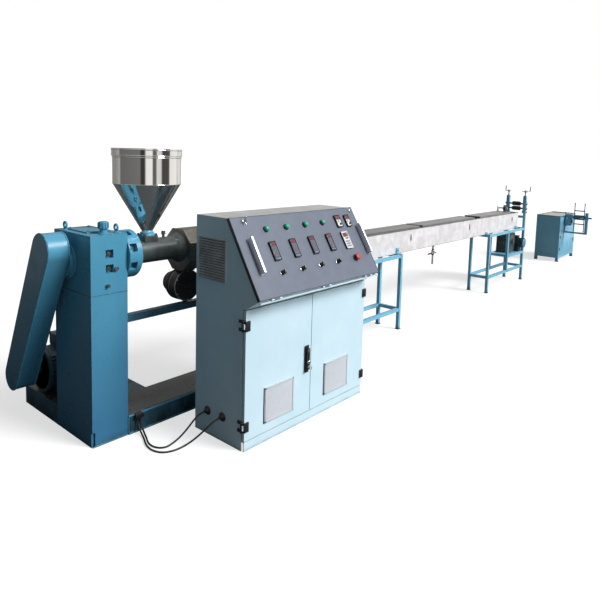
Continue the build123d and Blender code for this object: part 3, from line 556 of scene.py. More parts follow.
def guard_outline(x, inset):
    """Points round the belt guard, inset from its edge."""
    span = GUARD_LOW - GUARD_TOP
    lean = math.atan2(span.y, span.x)
    opening = math.acos(15 / span.length)
    points = []
    for centre, radius, first, last in (
        (GUARD_TOP, 92, lean + opening, lean + 2 * math.pi - opening),
        (GUARD_LOW, 77, lean - opening, lean + opening),
    ):
        for number in range(GUARD_STEPS + 1):
            angle = first + (last - first) * number / GUARD_STEPS
            y = centre.x + (radius - inset) * math.cos(angle)
            z = centre.y + (radius - inset) * math.sin(angle)
            points.append(Vector((x, y, z)))
    return points


def extruder_pieces():
    iron = Form()
    for z in (959, 1039):
        iron.rod("-Y", (108, 28, z), 3, 17, sides=24)
        iron.rod("-Y", (108, 25, z), 14, 13, sides=6)
    iron.rod("-Y", (94, -8, 872), 9, 10, sides=6)
    iron.ring("Y", (145, -8, 956), 10.5, 2.4)
    iron.turned("-Y", (145, -7, 956), [(0, 9), (2.0, 9), (2.6, 7)])
    for turn in turns((214, *LINE), "X", 8, math.pi / 8):
        iron.bolt("X", (7, 0, 116), 11, 11, turn)
    iron.ring("X", (1968, *LINE), 113, 2)
    for turn in turns((1968, *LINE), "X", 8):
        iron.bolt("X", (0, 0, 97), 9, 9, turn)
    for x in (2010, 2090):
        iron.ring("X", (x, *LINE), 77, 5)
    for turn in turns((573, *LINE), "X", 6):
        iron.bolt("-X", (53, 0, 86), 6, 6, turn)
    iron.ring("X", (302, *LINE), 71, 6)
    iron.turned("X", (296, *LINE), [(0, 84), (1.5, 86), (10, 86), (12, 84)], 56)
    iron.rod("Z", (519, LINE_Y, 1096), 5, 14, sides=6)
    for x, y in corners((372, 444), (70, 142)):
        iron.bolt("Z", (x, y, 1098), 7, 12)
    iron.box((455, 92, 1040), (466, 120, 1086), 3)
    for x, y in corners((1716, 1806), (50, 182)):
        iron.bolt("Z", (x, y, 128), 8, 8)
    iron.box((1706, 40, 112), (1816, 192, 128), 2)
    iron.done("extruder_fasteners", "plant", "dark_iron")

    deck = Form()
    deck.box((218, 5, 111.5), (1700, 259, 114), 0.8)
    deck.box((4, 400, 111.5), (495, 810, 114), 0.8)
    deck.done("dark_deck_plates", "plant", "machine_blue", DARK_DECK)

    blue = Form()
    blue.box((214, -7, 102), (1861, 2, 112), 1.5)
    blue.box((214, -7, 0), (1861, 2, 9), 1.5)
    blue.box((1852, -7, 0), (1861, 2, 112), 1.5)
    blue.box((0, 808, 101), (500, 815, 112), 1.5)
    blue.box((40, 110, 1140), (176, 330, 1148), 2.5)
    for x, y in corners((54, 162), (124, 316)):
        blue.bolt("Z", (x, y, 1148), 6, 5)
    blue.turned("-X", (0, *BEARING), [(0, 98), (2, 100), (12, 100), (14, 97)], 64)
    for turn in turns((-12, *BEARING), "X", 6, 0.4):
        blue.bolt("-X", (0, 0, 93), 5, 5, turn)
    for x, y in ((24, 314), (182, 60)):
        blue.turned("Z", (x, y, 1141), [(0, 15), (3, 15), (6, 11)], 28)
    blue.turned("Z", (*FILLER, 1141), [(0, 27), (5, 27), (7, 24)], 32)
    for turn in turns((*FILLER, 1171), "Z", 12):
        blue.box((24.5, -3.6, 0), (29.5, 3.6, 30), 1.4, turn)
    blue.turned("Z", (*FILLER, 1201), [(0, 26), (4, 24), (7, 17), (8, 6)], 32)
    for x in (-145, -35):
        blue.tube(guard_outline(x, 1), 4.5, closed=True)
    blue.turned("Z", (*HOPPER, 1096), [(0, 43), (4, 45), (9, 45), (16, 40), (22, 40), (24, 37)], 40)
    blue.box((362, 76, 1076), (372, 136, 1104), 3)
    blue.bead((1, -1, 5.5), (213, -1, 5.5), 3.2)
    for x in (215, 1859):
        blue.bead((x, -3, 10), (x, -3, 104), 3.0)
    blue.bead((1721, 54, 129), (1801, 54, 129), 3.0)
    blue.done("extruder_blue_fittings", "plant", "machine_blue")

    # Painted shade: a dark line round the column stands for the shaded gap of the gearbox seam.
    seam = Form()
    outline = [(-0.4, -0.4), (214.4, -0.4), (214.4, 395.4), (-0.4, 395.4)]
    points = []
    for first, second in zip(outline, outline[1:] + outline[:1]):
        length = math.dist(first, second)
        count = int(length / 11)
        for number in range(count):
            x = first[0] + (second[0] - first[0]) * number / count
            y = first[1] + (second[1] - first[1]) * number / count
            uneven = 1.3 * math.sin(1.9 * len(points)) * math.cos(0.7 * len(points))
            points.append((x, y, 825 + uneven))
    seam.tube(points, 1.3, closed=True, sides=6, ripple=0.5)
    seam.done("gearbox_seam_shade", "plant", "dark_iron")

    motor = Form()
    for angle in around(40):
        degrees = math.degrees(angle)
        if 52 < degrees < 128 or 222 < degrees < 318:
            continue
        turn = Matrix.Translation((0, *MOTOR)) @ Matrix.Rotation(angle, 4, "X")
        motor.box((46, 129, -2), (366, 142, 2), 1.2, turn)
    motor.turned("X", (20, *MOTOR), [(0, 118), (3, 138), (20, 140), (26, 134)], 56)
    motor.turned("X", (374, *MOTOR), [(0, 134), (3, 140), (88, 140), (97, 132)], 56)
    motor.box((104, 586, 438), (256, 722, 452), 5)
    motor.box((108, 590, 380), (252, 718, 440), 5)
    motor.rod("-Y", (180, 590, 410), 26, 15, sides=24, width=2)
    for x, y in corners((114, 246), (596, 712)):
        motor.bolt("Z", (x, y, 451), 4, 3)
    for x in (96, 284):
        for side in (-1, 1):
            y = 654 + side * 142
            motor.box((x - 24, y - 18, 112), (x + 24, y + 18, 132), 3)
            motor.bolt("Z", (x, y, 132), 9, 9)
    for turn in turns((46, *MOTOR), "X", 6):
        motor.bolt("X", (0, 0, 126), 5, 6, turn)
    motor.done("drive_motor_fins", "plant", "dark_blue_enamel")

    grille = Form()
    for radius in (30, 55, 80, 105):
        grille.ring("X", (471, *MOTOR), radius, 2.6)
    for turn in turns((471, *MOTOR), "X", 8):
        grille.box((-2.5, -2.5, 8), (2.5, 2.5, 128), 1, turn)
    for x in BLOWERS:
        for radius in (24, 42, 60, 78):
            grille.ring("Y", (x, 95, BLOWER_HEIGHT), radius, 2.0)
        for turn in turns((x, 95, BLOWER_HEIGHT), "Y", 8, 0.2):
            grille.box((-1.8, -1.8, 6), (1.8, 1.8, 88), 0.8, turn)
        grille.turned("-Y", (x, 96, BLOWER_HEIGHT), [(0, 18), (3, 17), (5, 11)], 32)
        casing = [(0, 96), (6, 97), (30, 97), (44, 90), (50, 70), (100, 66), (106, 58)]
        grille.turned("Y", (x, 158, BLOWER_HEIGHT), casing, 56)
        for along in (172, 182):
            grille.ring("Y", (x, along, BLOWER_HEIGHT), 97, 1.8, 56)
        grille.box((x - 50, 88, 852), (x + 50, 166, 862), 2.5)
        grille.box((x - 12, 112, 655), (x + 12, 130, 668), 2)
    grille.done("blower_grilles", "plant", "black_enamel")

    rims = Form()
    for x in BLOWERS:
        rims.ring("Y", (x, 97, BLOWER_HEIGHT), 96, 2.6, 56)
        rims.ring("Y", (x, 157, BLOWER_HEIGHT), 97, 2.0, 56)
        for turn in turns((x, 96, BLOWER_HEIGHT), "Y", 6):
            rims.bolt("-Y", (0, 0, 89), 3.5, 3, turn)
    rims.done("blower_rims", "plant", "bright_steel")

    cover = Form()
    centre = (LINE_Y, LINE_HEIGHT - 17)

    def band(x, length, across):
        cover.rod("X", (x, *centre), length, across / 2 / math.cos(math.pi / 8), sides=8, width=0.8)

    for x in (622, 1904):
        band(x, 8, 253)
    for x in (994, 1001, 1369, 1376):
        band(x, 5, 249.5)
    for x in (640, 985, 1017, 1360, 1392, 1890):
        for turn in turns((x, *centre), "X", 8):
            for across in (-32, 32):
                cover.turned("Z", (0, across, 123), [(0, 5), (1.5, 4.6), (3, 2.5)], 12, turn)
    for x in (810, 1188, 1640):
        cover.box((x - 70, -24, 975), (x + 70, -17, 1011), 2)
        cover.rod("-Y", (x + 40, -24, 993), 5, 9, sides=20)
    cover.done("barrel_cover_bands", "plant", "stainless", DARK_COVER)

    hopper = Form()
    for z, radius, wire in ((1558, 194, 2.6), (1590, 194, 3.2), (1548, 190.5, 2.6), (1400, 190, 1.6)):
        hopper.ring("Z", (*HOPPER, z), radius, wire, 96)
    hopper.ring("Z", (*HOPPER, 1121), 27, 3, 32)
    hopper.tube([(HOPPER[0] - 190.3, LINE_Y, z) for z in (1402, 1546)], 0.9, sides=6)
    hopper.done("hopper_beads", "plant", "polished_stainless")


extruder_pieces()


# Control cabinet.

CABINET_LEFT = 530
CABINET_RIGHT = 1606
PANEL_WIDTH = CABINET_RIGHT - CABINET_LEFT
# How far the louvre's slats lean, in degrees.
LOUVRE_LEAN = 28
# Places on the panel from its lower left corner. Columns are along its width, knobs and buttons
# up its slope, and the emergency stop has both.
COLUMNS = (230, 394, 558, 722)
KNOBS = 123
BUTTONS = 384
STOP = (906, 125)


def cabinet_pieces():
    # Painted shade: a dark sheet behind the slats stands for the shade between them.
    shade_sheet = Form()
    shade_sheet.box((523.4, -440, 899), (525, -233, 1117), 0.3)
    shade_sheet.done("louvre_shadow", "plant", "black_plastic", PAINTED_GAP_SHADE)
    slats = Form()
    for number in range(15):
        z = 907 + 14.4 * number
        turn = Matrix.Translation((523, 0, z)) @ rotation(LOUVRE_LEAN, "Y")
        slats.box((-1.2, -440, -6.8), (1.0, -233, 6.8), 0.5, turn)
    for y in (-446, -233):
        slats.box((520, y, 893), (526, y + 6, 1123), 1.2)
    for z in (893, 1117):
        slats.box((520, -446, z), (526, -227, z + 6), 1.2)
    slats.done("cabinet_louvre", "plant", "cabinet_paint", DUSTY_SLATS)

    strip = Form()
    strip.box((534, -706, 822), (1602, -699, 831), 1)
    strip.done("lip_strip", "plant", "cabinet_paint")
    for side, middle, body in (("left", 795, "left_door"), ("right", 1315, "right_door")):
        shadow = Form()
        shadow.box((middle - 121, -606, 112), (middle - 116.5, -603.2, 314), 0.3)
        shadow.box((middle - 118, -606, 110), (middle + 116, -603.2, 114.5), 0.3)
        shadow.done(side + "_vent_shadow", body, "black_plastic")
        vent = Form()
        for number in range(27):
            z = 126 + 6.75 * number
            turn = Matrix.Translation((0, -610.6, z)) @ rotation(-14, "X")
            vent.box((middle - 108, -0.9, -2.9), (middle + 108, 0.9, 2.9), 0.5, turn)
            vent.box((middle - 120, -611.5, z - 2), (middle - 115, -604, z + 2), 0.8)
        for x in (middle - 116, middle + 106):
            vent.box((x, -613.5, 115), (x + 10, -609.5, 313), 1.5)
        for z in (115, 304):
            vent.box((middle - 116, -613.5, z), (middle + 116, -609.5, z + 9), 1.5)
        vent.done(side + "_vent_grille", body, "vent_plastic")

    for body, x, side in (("left_door", 523, 1), ("right_door", 1613, -1)):
        leaf = Form()
        for z in (138, 690):
            low, high = sorted((x + side, x + side * 35))
            leaf.box((low, -612, z - 27), (high, -603.8, z + 27), 1.6)
            leaf.turned("Z", (x, -591, z - 29), [(0, 6.4), (1.5, 7.8), (56.5, 7.8), (58, 6.4)], 28)
            leaf.box((min(x, low), -606, z - 25), (max(x, low), -594, z + 25), 1.5)
            for dz in (-9, 9):
                leaf.turned("-Y", (x + side * 24, -611.8, z + dz), [(0, 4), (1.4, 3.6), (2, 1.5)], 14)
        leaf.done(body + "_hinge_leaves", body, "black_enamel")

    plate = Form()
    plate.box((1007, -612.4, 308), (1039, -610.6, 473), 1)
    plate.done("lock_plate_rim", "left_door", "black_plastic")
    lever = Form()
    lever.turned("-Y", (1023, -617.0, 442), [(0, 12), (3, 13), (8, 13), (11, 10)], 32)
    lever.box((1015.5, -629.5, 330), (1030.5, -626, 428), 3)
    lever.done("lock_handle_grip", "lock_handle", "black_plastic")
    chrome = Form()
    chrome.turned("-Y", (1023, -627.6, 442), [(0, 8.5), (1.4, 8.2), (2, 6.5)], 28)
    chrome.turned("-Y", (1021, -627.2, 376), [(0, 10), (5, 10), (7, 8.5), (8, 6)], 32)
    chrome.turned("-Y", (1023, -627.2, 346), [(0, 8), (3, 7.6), (4, 6)], 28)
    chrome.box((1022, -641, 341), (1024.4, -630, 352), 0.6)
    chrome.box((1021, -650, 334), (1025, -640, 356), 1.5)
    chrome.done("lock_cylinders", "lock_handle", "bright_steel", CHROME)

    nuts = Form()
    for name in CABLE_ROUTES:
        x, y, z = CABLE_ROUTES[name][0]
        nuts.turned("-X", (530, y, z), [(0, 25), (3, 25), (6, 21), (8, 20)], 40)
        nuts.rod("X", (x + 1, y, z), 9, 19.5, sides=6, width=1.2)
        nuts.turned("X", (x - 9, y, z), [(0, 7), (2, 10), (8, 15.4), (12, 16.8)], 28)
    nuts.box((247, -29, 88), (299, -24, 110), 1.5)
    for x in (281, 265):
        nuts.turned("-Z", (x, -13, 87), [(0, 8.4), (8, 7.6), (14, 6)], 24)
    nuts.done("cable_gland_nuts", "plant", "black_plastic")


def panel_pieces():
    trim = Form(PANEL)
    for u in (-2.0, PANEL_WIDTH):
        trim.box((u, -0.5, -8), (u + 2.0, PANEL_LENGTH + 0.5, 1.0), 0.4)
    for low, high in ((-3.4, -0.8), (PANEL_WIDTH + 0.8, PANEL_WIDTH + 3.4)):
        trim.box((low, -1, -19), (high, PANEL_LENGTH + 1, 1.2), 0.8)
    trim.done("panel_edge_strips", "control_panel", "black_plastic")
    fold = Form(PANEL)
    for v in (3, PANEL_LENGTH - 3):
        fold.tube([(2, v, 0.4), (PANEL_WIDTH - 2, v, 0.4)], 1.4, sides=6)
    fold.done("panel_folds", "control_panel", "panel_paint")

    bars = Form(PANEL)
    for u in (74, 1052):
        bars.box((u - 7, 134, 0), (u - 3.5, 341, 36), 1.4)
        bars.box((u - 7, 134, 33), (u + 8, 341, 38), 1.8)
        for v in (142, 333):
            bars.box((u - 8, v - 8, 0), (u + 8, v + 8, 3), 1)
    bars.done("panel_handle_bars", "control_panel", "stainless", replaces=["panel_handles"])

    collars = Form(PANEL)
    for u in COLUMNS:
        collars.turned("Z", (u, KNOBS, 0), [(0, 15), (2, 15), (3, 14), (6, 13.5), (6.1, 11)])
        collars.turned("Z", (u, BUTTONS, 0), [(0, 19), (3, 19), (5, 17.4), (8, 17), (8.1, 15)])
    collars.turned("Z", (*STOP, 0), [(0, 22), (3, 22), (6, 18), (8, 17.5), (8.1, 15)])
    collars.done("panel_collars", "control_panel", "black_plastic", replaces=["panel_buttons"])
    caps = Form(PANEL)
    for u in COLUMNS:
        caps.turned("Z", (u, BUTTONS, 5), [(0, 15), (7, 15), (12, 13.6), (16, 10), (18, 5), (18.6, 2)])
    caps.done("green_button_caps", "control_panel", "green_plastic")
    locks = Form(PANEL)
    for u, v in ((87, 445), (1048, 447)):
        locks.turned("Z", (u, v, 0), [(0, 12), (3, 12), (5, 10.5), (8, 10), (9, 8)])
    locks.box((86, 437, 9), (88, 453, 20), 0.6)
    turn = Matrix.Translation((87, 445, 26)) @ rotation(24, "X")
    locks.box((-1.2, -13, -8), (1.2, 13, 8), 0.9, turn)
    locks.box((86.2, 420, 10), (87.8, 440, 17), 0.6)
    locks.box((1047, 439, 9), (1049, 455, 15), 0.6)
    for u in COLUMNS:
        locks.turned("Z", (u, KNOBS, 0), [(0, 16), (1.0, 16), (1.4, 15)], 36)
    locks.done("panel_locks", "control_panel", "bright_steel", CHROME)

    frames, windows, dim, keys, white, red, black = (Form(PANEL) for _ in range(7))

    def border(form, u, v, width, height, top=12.5, base=9.5, rim=3.2):
        left, right, low, high = u - width / 2, u + width / 2, v - height / 2, v + height / 2
        for near, far in (
            ((left, low), (left + rim, high)), ((right - rim, low), (right, high)),
            ((left, low), (right, low + rim)), ((left, high - rim), (right, high)),
        ):
            form.box((*near, base), (*far, top), 0.9)

    for u in COLUMNS:
        border(frames, u, 250, 48, 114)
        windows.box((u - 17, 282, 9), (u + 17, 300, 10.8), 0.5)
        dim.box((u - 19.5, 212, 9), (u + 19.5, 279, 10.6), 0.5)
        for number in range(4):
            left = u - 17.5 + 9 * number
            keys.box((left, 199, 9.5), (left + 7.4, 209, 12), 1)
        for number in range(3):
            keys.turned("Z", (u - 10 + 10 * number, 220, 9.8), [(0, 2.4), (1.6, 2.2), (2.2, 1)], 12)
    for u, v, width in ((880, 380, 50), (976, 376, 44)):
        border(frames, u, v, width + 2, 84)
        windows.box((u - width / 2 + 6, v + 14, 9), (u + width / 2 - 6, v + 34, 10.8), 0.5)
        white.box((u - width / 2 + 5, v - 36, 9), (u + width / 2 - 5, v + 9, 11), 0.8)
        black.turned("Z", (u + 6, v - 22, 11), [(0, 7.5), (2, 7.5), (8, 6), (9, 4.5)], 24)
        red.turned("Z", (u - 8, v - 4, 11), [(0, 3.4), (2, 3.2), (3, 1.6)], 16)
        for step in (-10, 2):
            black.box((u - 10, v + step, 10.8), (u + 12, v + step + 3, 11.6), 0.3)
    border(white, 883, 247, 64, 116, top=13)
    white.box((854, 192, 9), (912, 302, 10.8), 0.6)
    windows.box((860, 268, 10), (906, 296, 12), 0.6)
    black.box((872, 254, 10.5), (900, 262, 13.5), 1.2)
    for line in range(3):
        for number in range(3):
            left = 862 + 15 * number
            keys.box((left, 200 + 16 * line, 10.4), (left + 11, 211 + 16 * line, 12.6), 1)
    frames.done("instrument_frames", "control_panel", "black_plastic")
    windows.done("instrument_windows", "control_panel", "black_plastic", RED_DISPLAY)
    dim.done("instrument_dim_windows", "control_panel", "black_plastic", GREY_DISPLAY)
    keys.done("instrument_keys", "control_panel", "vent_plastic", GREY_KEYS)
    white.done("instrument_face_plates", "control_panel", "vent_plastic", WHITE_PLASTIC)
    red.done("instrument_red_keys", "control_panel", "red_plastic")
    black.done("instrument_knobs", "control_panel", "black_plastic")

    stop = Form(PANEL)
    mushroom = [(0, 8.5), (8, 8.5), (9, 13), (10, 19.5), (13, 21), (17, 20.4), (20, 17), (21.5, 10), (22, 4)]
    stop.turned("Z", (*STOP, 8), mushroom)
    stop.done("emergency_stop_mushroom", "emergency_stop", "red_plastic", replaces=["emergency_stop_button"])
    for number, u in enumerate(COLUMNS, start=1):
        body = f"selector_knob_{number}"
        knob = Form(PANEL)
        knob.turned("Z", (u, KNOBS, 8.4), [(0, 10), (2, 10.2), (6, 10), (7.6, 8.6)])
        knob.box((u - 4, 110, 15), (u + 4, 136, 26), 2.4)
        knob.done(f"selector_grip_{number}", body, "black_plastic", replaces=[body])
        mark = Form(PANEL)
        mark.box((u - 0.9, 124, 25.6), (u + 0.9, 135, 26.4), 0.2)
        mark.done(f"selector_mark_{number}", body, "vent_plastic", WHITE_PLASTIC)


cabinet_pieces()
panel_pieces()


# Water trough and its stands.

TROUGH_LEFT = 2326
TROUGH_RIGHT = 6005
COVERS = ((2330, 3416), (3465, 4658), (4804, 5735))
# Where a clip holds the trough, and how tall it is.
CLIPS = ((2395, 56), (3016, 56), (5010, 30), (5935, 30))
LATCHES = (3253, 4539, 5800)
DRAIN_X = 3747
TROUGH_BOTTOM = 701
FRONT_LEGS = -43
BACK_LEGS = 177
TUBE = 30
LOW_RAIL = 172
# Each stand's legs: where, and how high the leg starts.
STANDS = (((2395, 0), (3016, 0)), ((5010, 0), (5585, LOW_RAIL + TUBE), (6120, 0)))


def trough_pieces():
    steel = Form()
    marks = Form()
    for y in (13.5, 198.5):
        for z, radius, sides in ((906, 3.2, 8), (703, 1.8, 6)):
            steel.tube([(TROUGH_LEFT, y, z), (TROUGH_RIGHT, y, z)], radius, sides=sides)
    for x in LATCHES:
        marks.box((x - 8, 11.4, 796), (x + 8, 14.4, 862), 1.2)
        marks.box((x - 4, 6, 806), (x + 4, 12, 850), 2)
    marks.done("trough_latches", "plant", "bright_steel")
    for x in (TROUGH_LEFT - 1, TROUGH_RIGHT - 4):
        steel.box((x, 16, 898), (x + 5, 196, 908), 1.2)
    for left, right in COVERS:
        for y in (12.4, 199.6):
            for z in (911, 925.5):
                steel.tube([(left + 1, y, z), (right - 1, y, z)], 1.8, sides=6)
        for y in (46, 166):
            steel.box((left + 14, y - 7, 926), (right - 14, y + 7, 929), 1.2)
        for x in (left, right - 8):
            steel.box((x, 11, 925.5), (x + 8, 201, 929), 1)
    steel.done("trough_folds", "plant", "stainless", GREY_COVERS)

    valve = Form()
    for z, length, radius in ((690, 11, 15), (652, 10, 14), (600, 10, 14)):
        valve.rod("Z", (DRAIN_X, 36, z), length, radius, sides=6)
    valve.turned("-Y", (DRAIN_X, 21, 630), [(-3, 13), (0, 12), (3, 10)], 24)
    valve.ring("Z", (DRAIN_X, 36, 508), 9, 1.6, 24)
    valve.done("drain_unions", "plant", "bright_steel", LOOKS["dark_iron"])
    lever = Form()
    lever.box((3594, 2.6, 622.5), (3672, 10.6, 637.5), 3)
    lever.done("drain_lever_sleeve", "drain_lever", "black_plastic")
    nut = Form()
    nut.rod("-Y", (DRAIN_X, 4.4, 630), 5, 8, sides=6)
    nut.done("drain_lever_nut", "drain_lever", "bright_steel")

    blue = Form()
    feet = Form()
    bolts = Form()
    top = TROUGH_BOTTOM - TUBE
    half = TUBE / 2
    for legs in STANDS:
        left, right = legs[0][0], legs[-1][0]
        for x, bottom in legs:
            for y in (FRONT_LEGS, BACK_LEGS):
                if bottom == 0:
                    feet.box((x - half - 5, y - 5, 0), (x + half + 5, y + TUBE + 5, 8), 2)
                    blue.bead((x - half, y - 0.6, 9), (x + half, y - 0.6, 9), 2.2)
                for z, rise in ((LOW_RAIL, TUBE), (top, 0)):
                    for side in (-half, half):
                        if left < x + side < right:
                            blue.bead((x + side, y + 3, z + rise), (x + side, y + TUBE - 3, z + rise), 2.0)
                            blue.bead((x + side, y - 0.4, z + 2), (x + side, y - 0.4, z + TUBE - 2), 1.8)
    for x, tall in CLIPS:
        for near, far, wall in ((FRONT_LEGS + 2, 14, 5.0), (BACK_LEGS + TUBE - 2, 198, 207.0)):
            low, high = sorted((near, far))
            blue.box((x - 22, low, TROUGH_BOTTOM), (x + 22, high, 706), 1.4)
            inner, outer = sorted((far, wall))
            blue.box((x - 22, inner, TROUGH_BOTTOM), (x + 22, outer, TROUGH_BOTTOM + tall), 1.6)
        bolts.bolt("-Y", (x, 5, TROUGH_BOTTOM + tall * 0.6), 6, 4)
        bolts.bolt("Z", (x, -24, 706), 6, 5)
    blue.box((5600, -45.5, 383), (6100, -41, 394), 1.5)
    blue.done("stand_welds_and_clips", "plant", "machine_blue", LIGHT_BLUE)
    feet.done("stand_foot_plates", "plant", "dark_iron")
    bolts.done("clip_bolts", "plant", "bright_steel")


trough_pieces()


# Haul-off and winder.

HAUL_X = 6120
ROLLERS = (("lower_roller", 951), ("upper_roller", 1013))
GEARBOX_X = 5857


def wheel_axis(y):
    return (5790, y, 964)


def motor_axis(y):
    return (6036, y, 507)


def haul_off_pieces():
    caps = Form()
    dark = Form()
    for y, out, axis in ((-43, -1, "-Y"), (217, 1, "Y")):
        for _, z in ROLLERS:
            caps.turned(axis, (HAUL_X, y, z), [(0, 18), (4, 18), (7, 15), (7.1, 11)], 28)
        dark.box((HAUL_X - 12, y - 1.4, 925), (HAUL_X + 12, y + 1.4, 1052), 1)
        for side in (-20, 20):
            dark.bolt(axis, (HAUL_X + side, y + out * 4, 903), 5, 4)
        dark.turned("Z", (HAUL_X, y - out * 20, 1113), [(0, 15), (6, 15), (9, 13)], 6)
        caps.tube([(HAUL_X + 4, y - out * 20, 1120 + 6.2 * n) for n in range(2)], 7.6)
    caps.done("roller_bearing_caps", "plant", "machine_blue", LIGHT_BLUE)
    for x in (5768, 5812):
        dark.rod("-Y", (x, 198, 872), 1.5, 6, sides=6)
    dark.done("haul_off_fasteners", "plant", "dark_iron")
    for body, z in ROLLERS:
        shaft = Form()
        for y, axis in ((-59, "-Y"), (233, "Y")):
            shaft.turned(axis, (HAUL_X, y, z), [(-6, 12.5), (-2, 12.5), (0, 11), (0.1, 6)], 24)
        for y in (29, 142):
            shaft.turned("Y", (HAUL_X, y - 2, z), [(0, 15), (4, 15)], 24)
        shaft.done(body + "_collars", body, "bright_steel")
        tyre = Form()
        for number in range(9):
            tyre.ring("Y", (HAUL_X, 47 + 9.6 * number, z), 27.4, 1.3, 40)
        tyre.done(body + "_ribs", body, "roller_rubber")
    for body, y, angle in (("front_handwheel", -23, -49), ("back_handwheel", 197, 62)):
        knob = Form()
        turn = Matrix.Translation((HAUL_X, y, 1178)) @ rotation(angle, "Z")
        knob.turned("Z", (60, 0, 0), [(8, 5), (12, 6.4), (50, 6.8), (64, 6), (68, 3)], 20, turn)
        knob.done(body + "_grip", body, "bright_steel")
        hub = Form()
        hub.rod("Z", (HAUL_X, y, 1186), 9, 9, sides=6)
        hub.turned("Z", (HAUL_X, y, 1164), [(0, 12), (5, 16), (9, 16)], 24)
        hub.done(body + "_nut", body, "bright_steel")
    wheel = Form()
    for y, axis in ((91, "-Y"), (121, "Y")):
        wheel.turned(axis, wheel_axis(y), [(-4, 20), (2, 19), (4, 15), (4.1, 9)], 28)
    for y in (92.5, 119.5):
        wheel.ring("Y", wheel_axis(y), 41, 2.2)
    wheel.done("guide_wheel_hub", "guide_wheel", "dark_iron")

    iron = Form()
    iron.box((5760, 16, 470), (5955, 22, 620), 4)
    for x in (5776, 5940):
        for z in (486, 604):
            iron.bolt("-Y", (x, 16, z), 6, 5)
    iron.turned("Z", (GEARBOX_X, 100, 639), [(0, 46), (8, 44), (14, 30), (34, 30), (38, 26)], 36)
    iron.turned("-Y", (GEARBOX_X, 22, 545), [(0, 52), (10, 50), (16, 38), (26, 36)], 40)
    iron.turned("-X", (5745, 100, 520), [(0, 48), (10, 46), (14, 30), (30, 30)], 36)
    iron.rod("-X", (5716, 100, 520), 16, 12, sides=24)
    for z in (410, 450, 490, 530, 570, 610):
        iron.box((5741, 30, z - 3), (5745.6, 170, z + 3), 1.5)
    iron.box((5735, 16, 390), (5990, 184, 402), 3)
    iron.done("gearbox_covers", "plant", "dark_iron")

    motor = Form()
    for angle in around(28):
        degrees = math.degrees(angle)
        if 60 < degrees < 120:
            continue
        turn = Matrix.Translation(motor_axis(0)) @ Matrix.Rotation(angle, 4, "Y")
        motor.box((-1.5, -36, 56), (1.5, 100, 62), 0.8, turn)
    motor.turned("-Y", motor_axis(-46), [(0, 60), (2, 63), (26, 63), (32, 58)], 40)
    motor.turned("Y", motor_axis(98), [(0, 60), (3, 64), (10, 64), (12, 60)], 40)
    motor.box((6006, -4, 560), (6064, 62, 592), 4)
    motor.box((6003, -7, 590), (6067, 65, 597), 2)
    motor.done("haul_off_motor_fins", "plant", "dark_blue_enamel")
    grille = Form()
    for radius in (16, 30, 44):
        grille.ring("Y", motor_axis(-78.5), radius, 1.8, 32)
    for turn in turns(motor_axis(-78.5), "Y", 8):
        grille.box((-1.6, -1.4, 6), (1.6, 1.4, 57), 0.6, turn)
    grille.turned("-Y", motor_axis(-76), [(0, 59), (1, 59), (3.4, 55)], 40)
    grille.done("haul_off_motor_grille", "plant", "machine_blue")


WINDER_LEFT = 7893
WINDER_RIGHT = 8693
REEL_X = 8140
REEL_Z = 710


def winder_pieces():
    blue = Form()
    for left, right, low, high in ((7935, 8650, 110, 440), (7935, 8095, 470, 690), (8185, 8650, 470, 690)):
        blue.box((left, 29, low), (right, 33, high), 1.6)
    blue.box((7890, 70, 110), (7894, 355, 670), 1.6)
    for y in (33, 393):
        blue.tube([(WINDER_LEFT + 4, y, 727), (WINDER_RIGHT - 4, y, 727)], 3)
    for x in (WINDER_LEFT + 1, WINDER_RIGHT - 4):
        blue.tube([(x, 34, 727), (x, 392, 727)], 3)
    blue.box((8074, -66, 572), (8206, 20, 676), 5)
    for z in range(586, 668, 16):
        blue.box((8070, -69, z), (8210, 18, z + 5), 1.5)
    blue.box((8098, -70, 684), (8182, 20, 700), 3)
    blue.box((8118, -307, 776), (8162, -261, 788), 2)
    blue.turned("-Y", (REEL_X, -74, REEL_Z), [(0, 26), (3, 26), (6, 22), (6.1, 14)], 32)
    blue.turned("-Y", (REEL_X, -304, REEL_Z), [(0, 19), (4, 19), (6, 17), (6.1, 13)], 28)
    blue.bead((8120, 20, 454), (8120, 20, 780), 2.6)
    blue.done("winder_panels", "plant", "machine_blue", LIGHT_BLUE)
    dark = Form()
    for x in (7913, 8673):
        for y in (52, 374):
            dark.box((x - 20, y - 24, 0), (x + 20, y + 24, 10), 2)
    for x in (8127, 8153):
        for z in (470, 560, 766):
            dark.bolt("-Y", (x, 22, z), 5, 4)
    dark.turned("-Y", (REEL_X, -76, 640), [(-8, 30), (0, 30), (3, 27), (4, 14)], 32)
    for z in (180, 370):
        dark.rod("Z", (7937, 27, z), 40, 5, sides=16)
    dark.box((8626, 20, 260), (8636, 30, 330), 2)
    dark.done("winder_fasteners", "plant", "dark_iron")

    reel = Form()
    for y, axis in ((-101, "Y"), (-246, "-Y")):
        reel.turned(axis, (REEL_X, y, REEL_Z), [(-5, 40), (5, 40), (8, 34), (9, 16)], 36)
        for turn in turns((REEL_X, y, REEL_Z), "Y", 4, math.pi / 4):
            reel.bolt(axis, (0, 4 if axis == "Y" else -4, 27), 4.5, 4, turn)
        for turn in turns((REEL_X, y, REEL_Z), "Y", 4):
            reel.turned("Y", (0, -8, 216), [(0, 7), (1.5, 9.5), (14, 9.5), (16, 7)], 20, turn)
            reel.turned("Y", (0, -7, 105), [(0, 9), (1, 11), (13, 11), (14, 9)], 20, turn)
    reel.turned("-Y", (REEL_X, -354, REEL_Z), [(-3, 12.6), (0, 10)], 24)
    reel.done("reel_hub_and_knobs", "winding_reel", "bright_steel", DARK_BLUE)


haul_off_pieces()
winder_pieces()


# Camera, light and room.

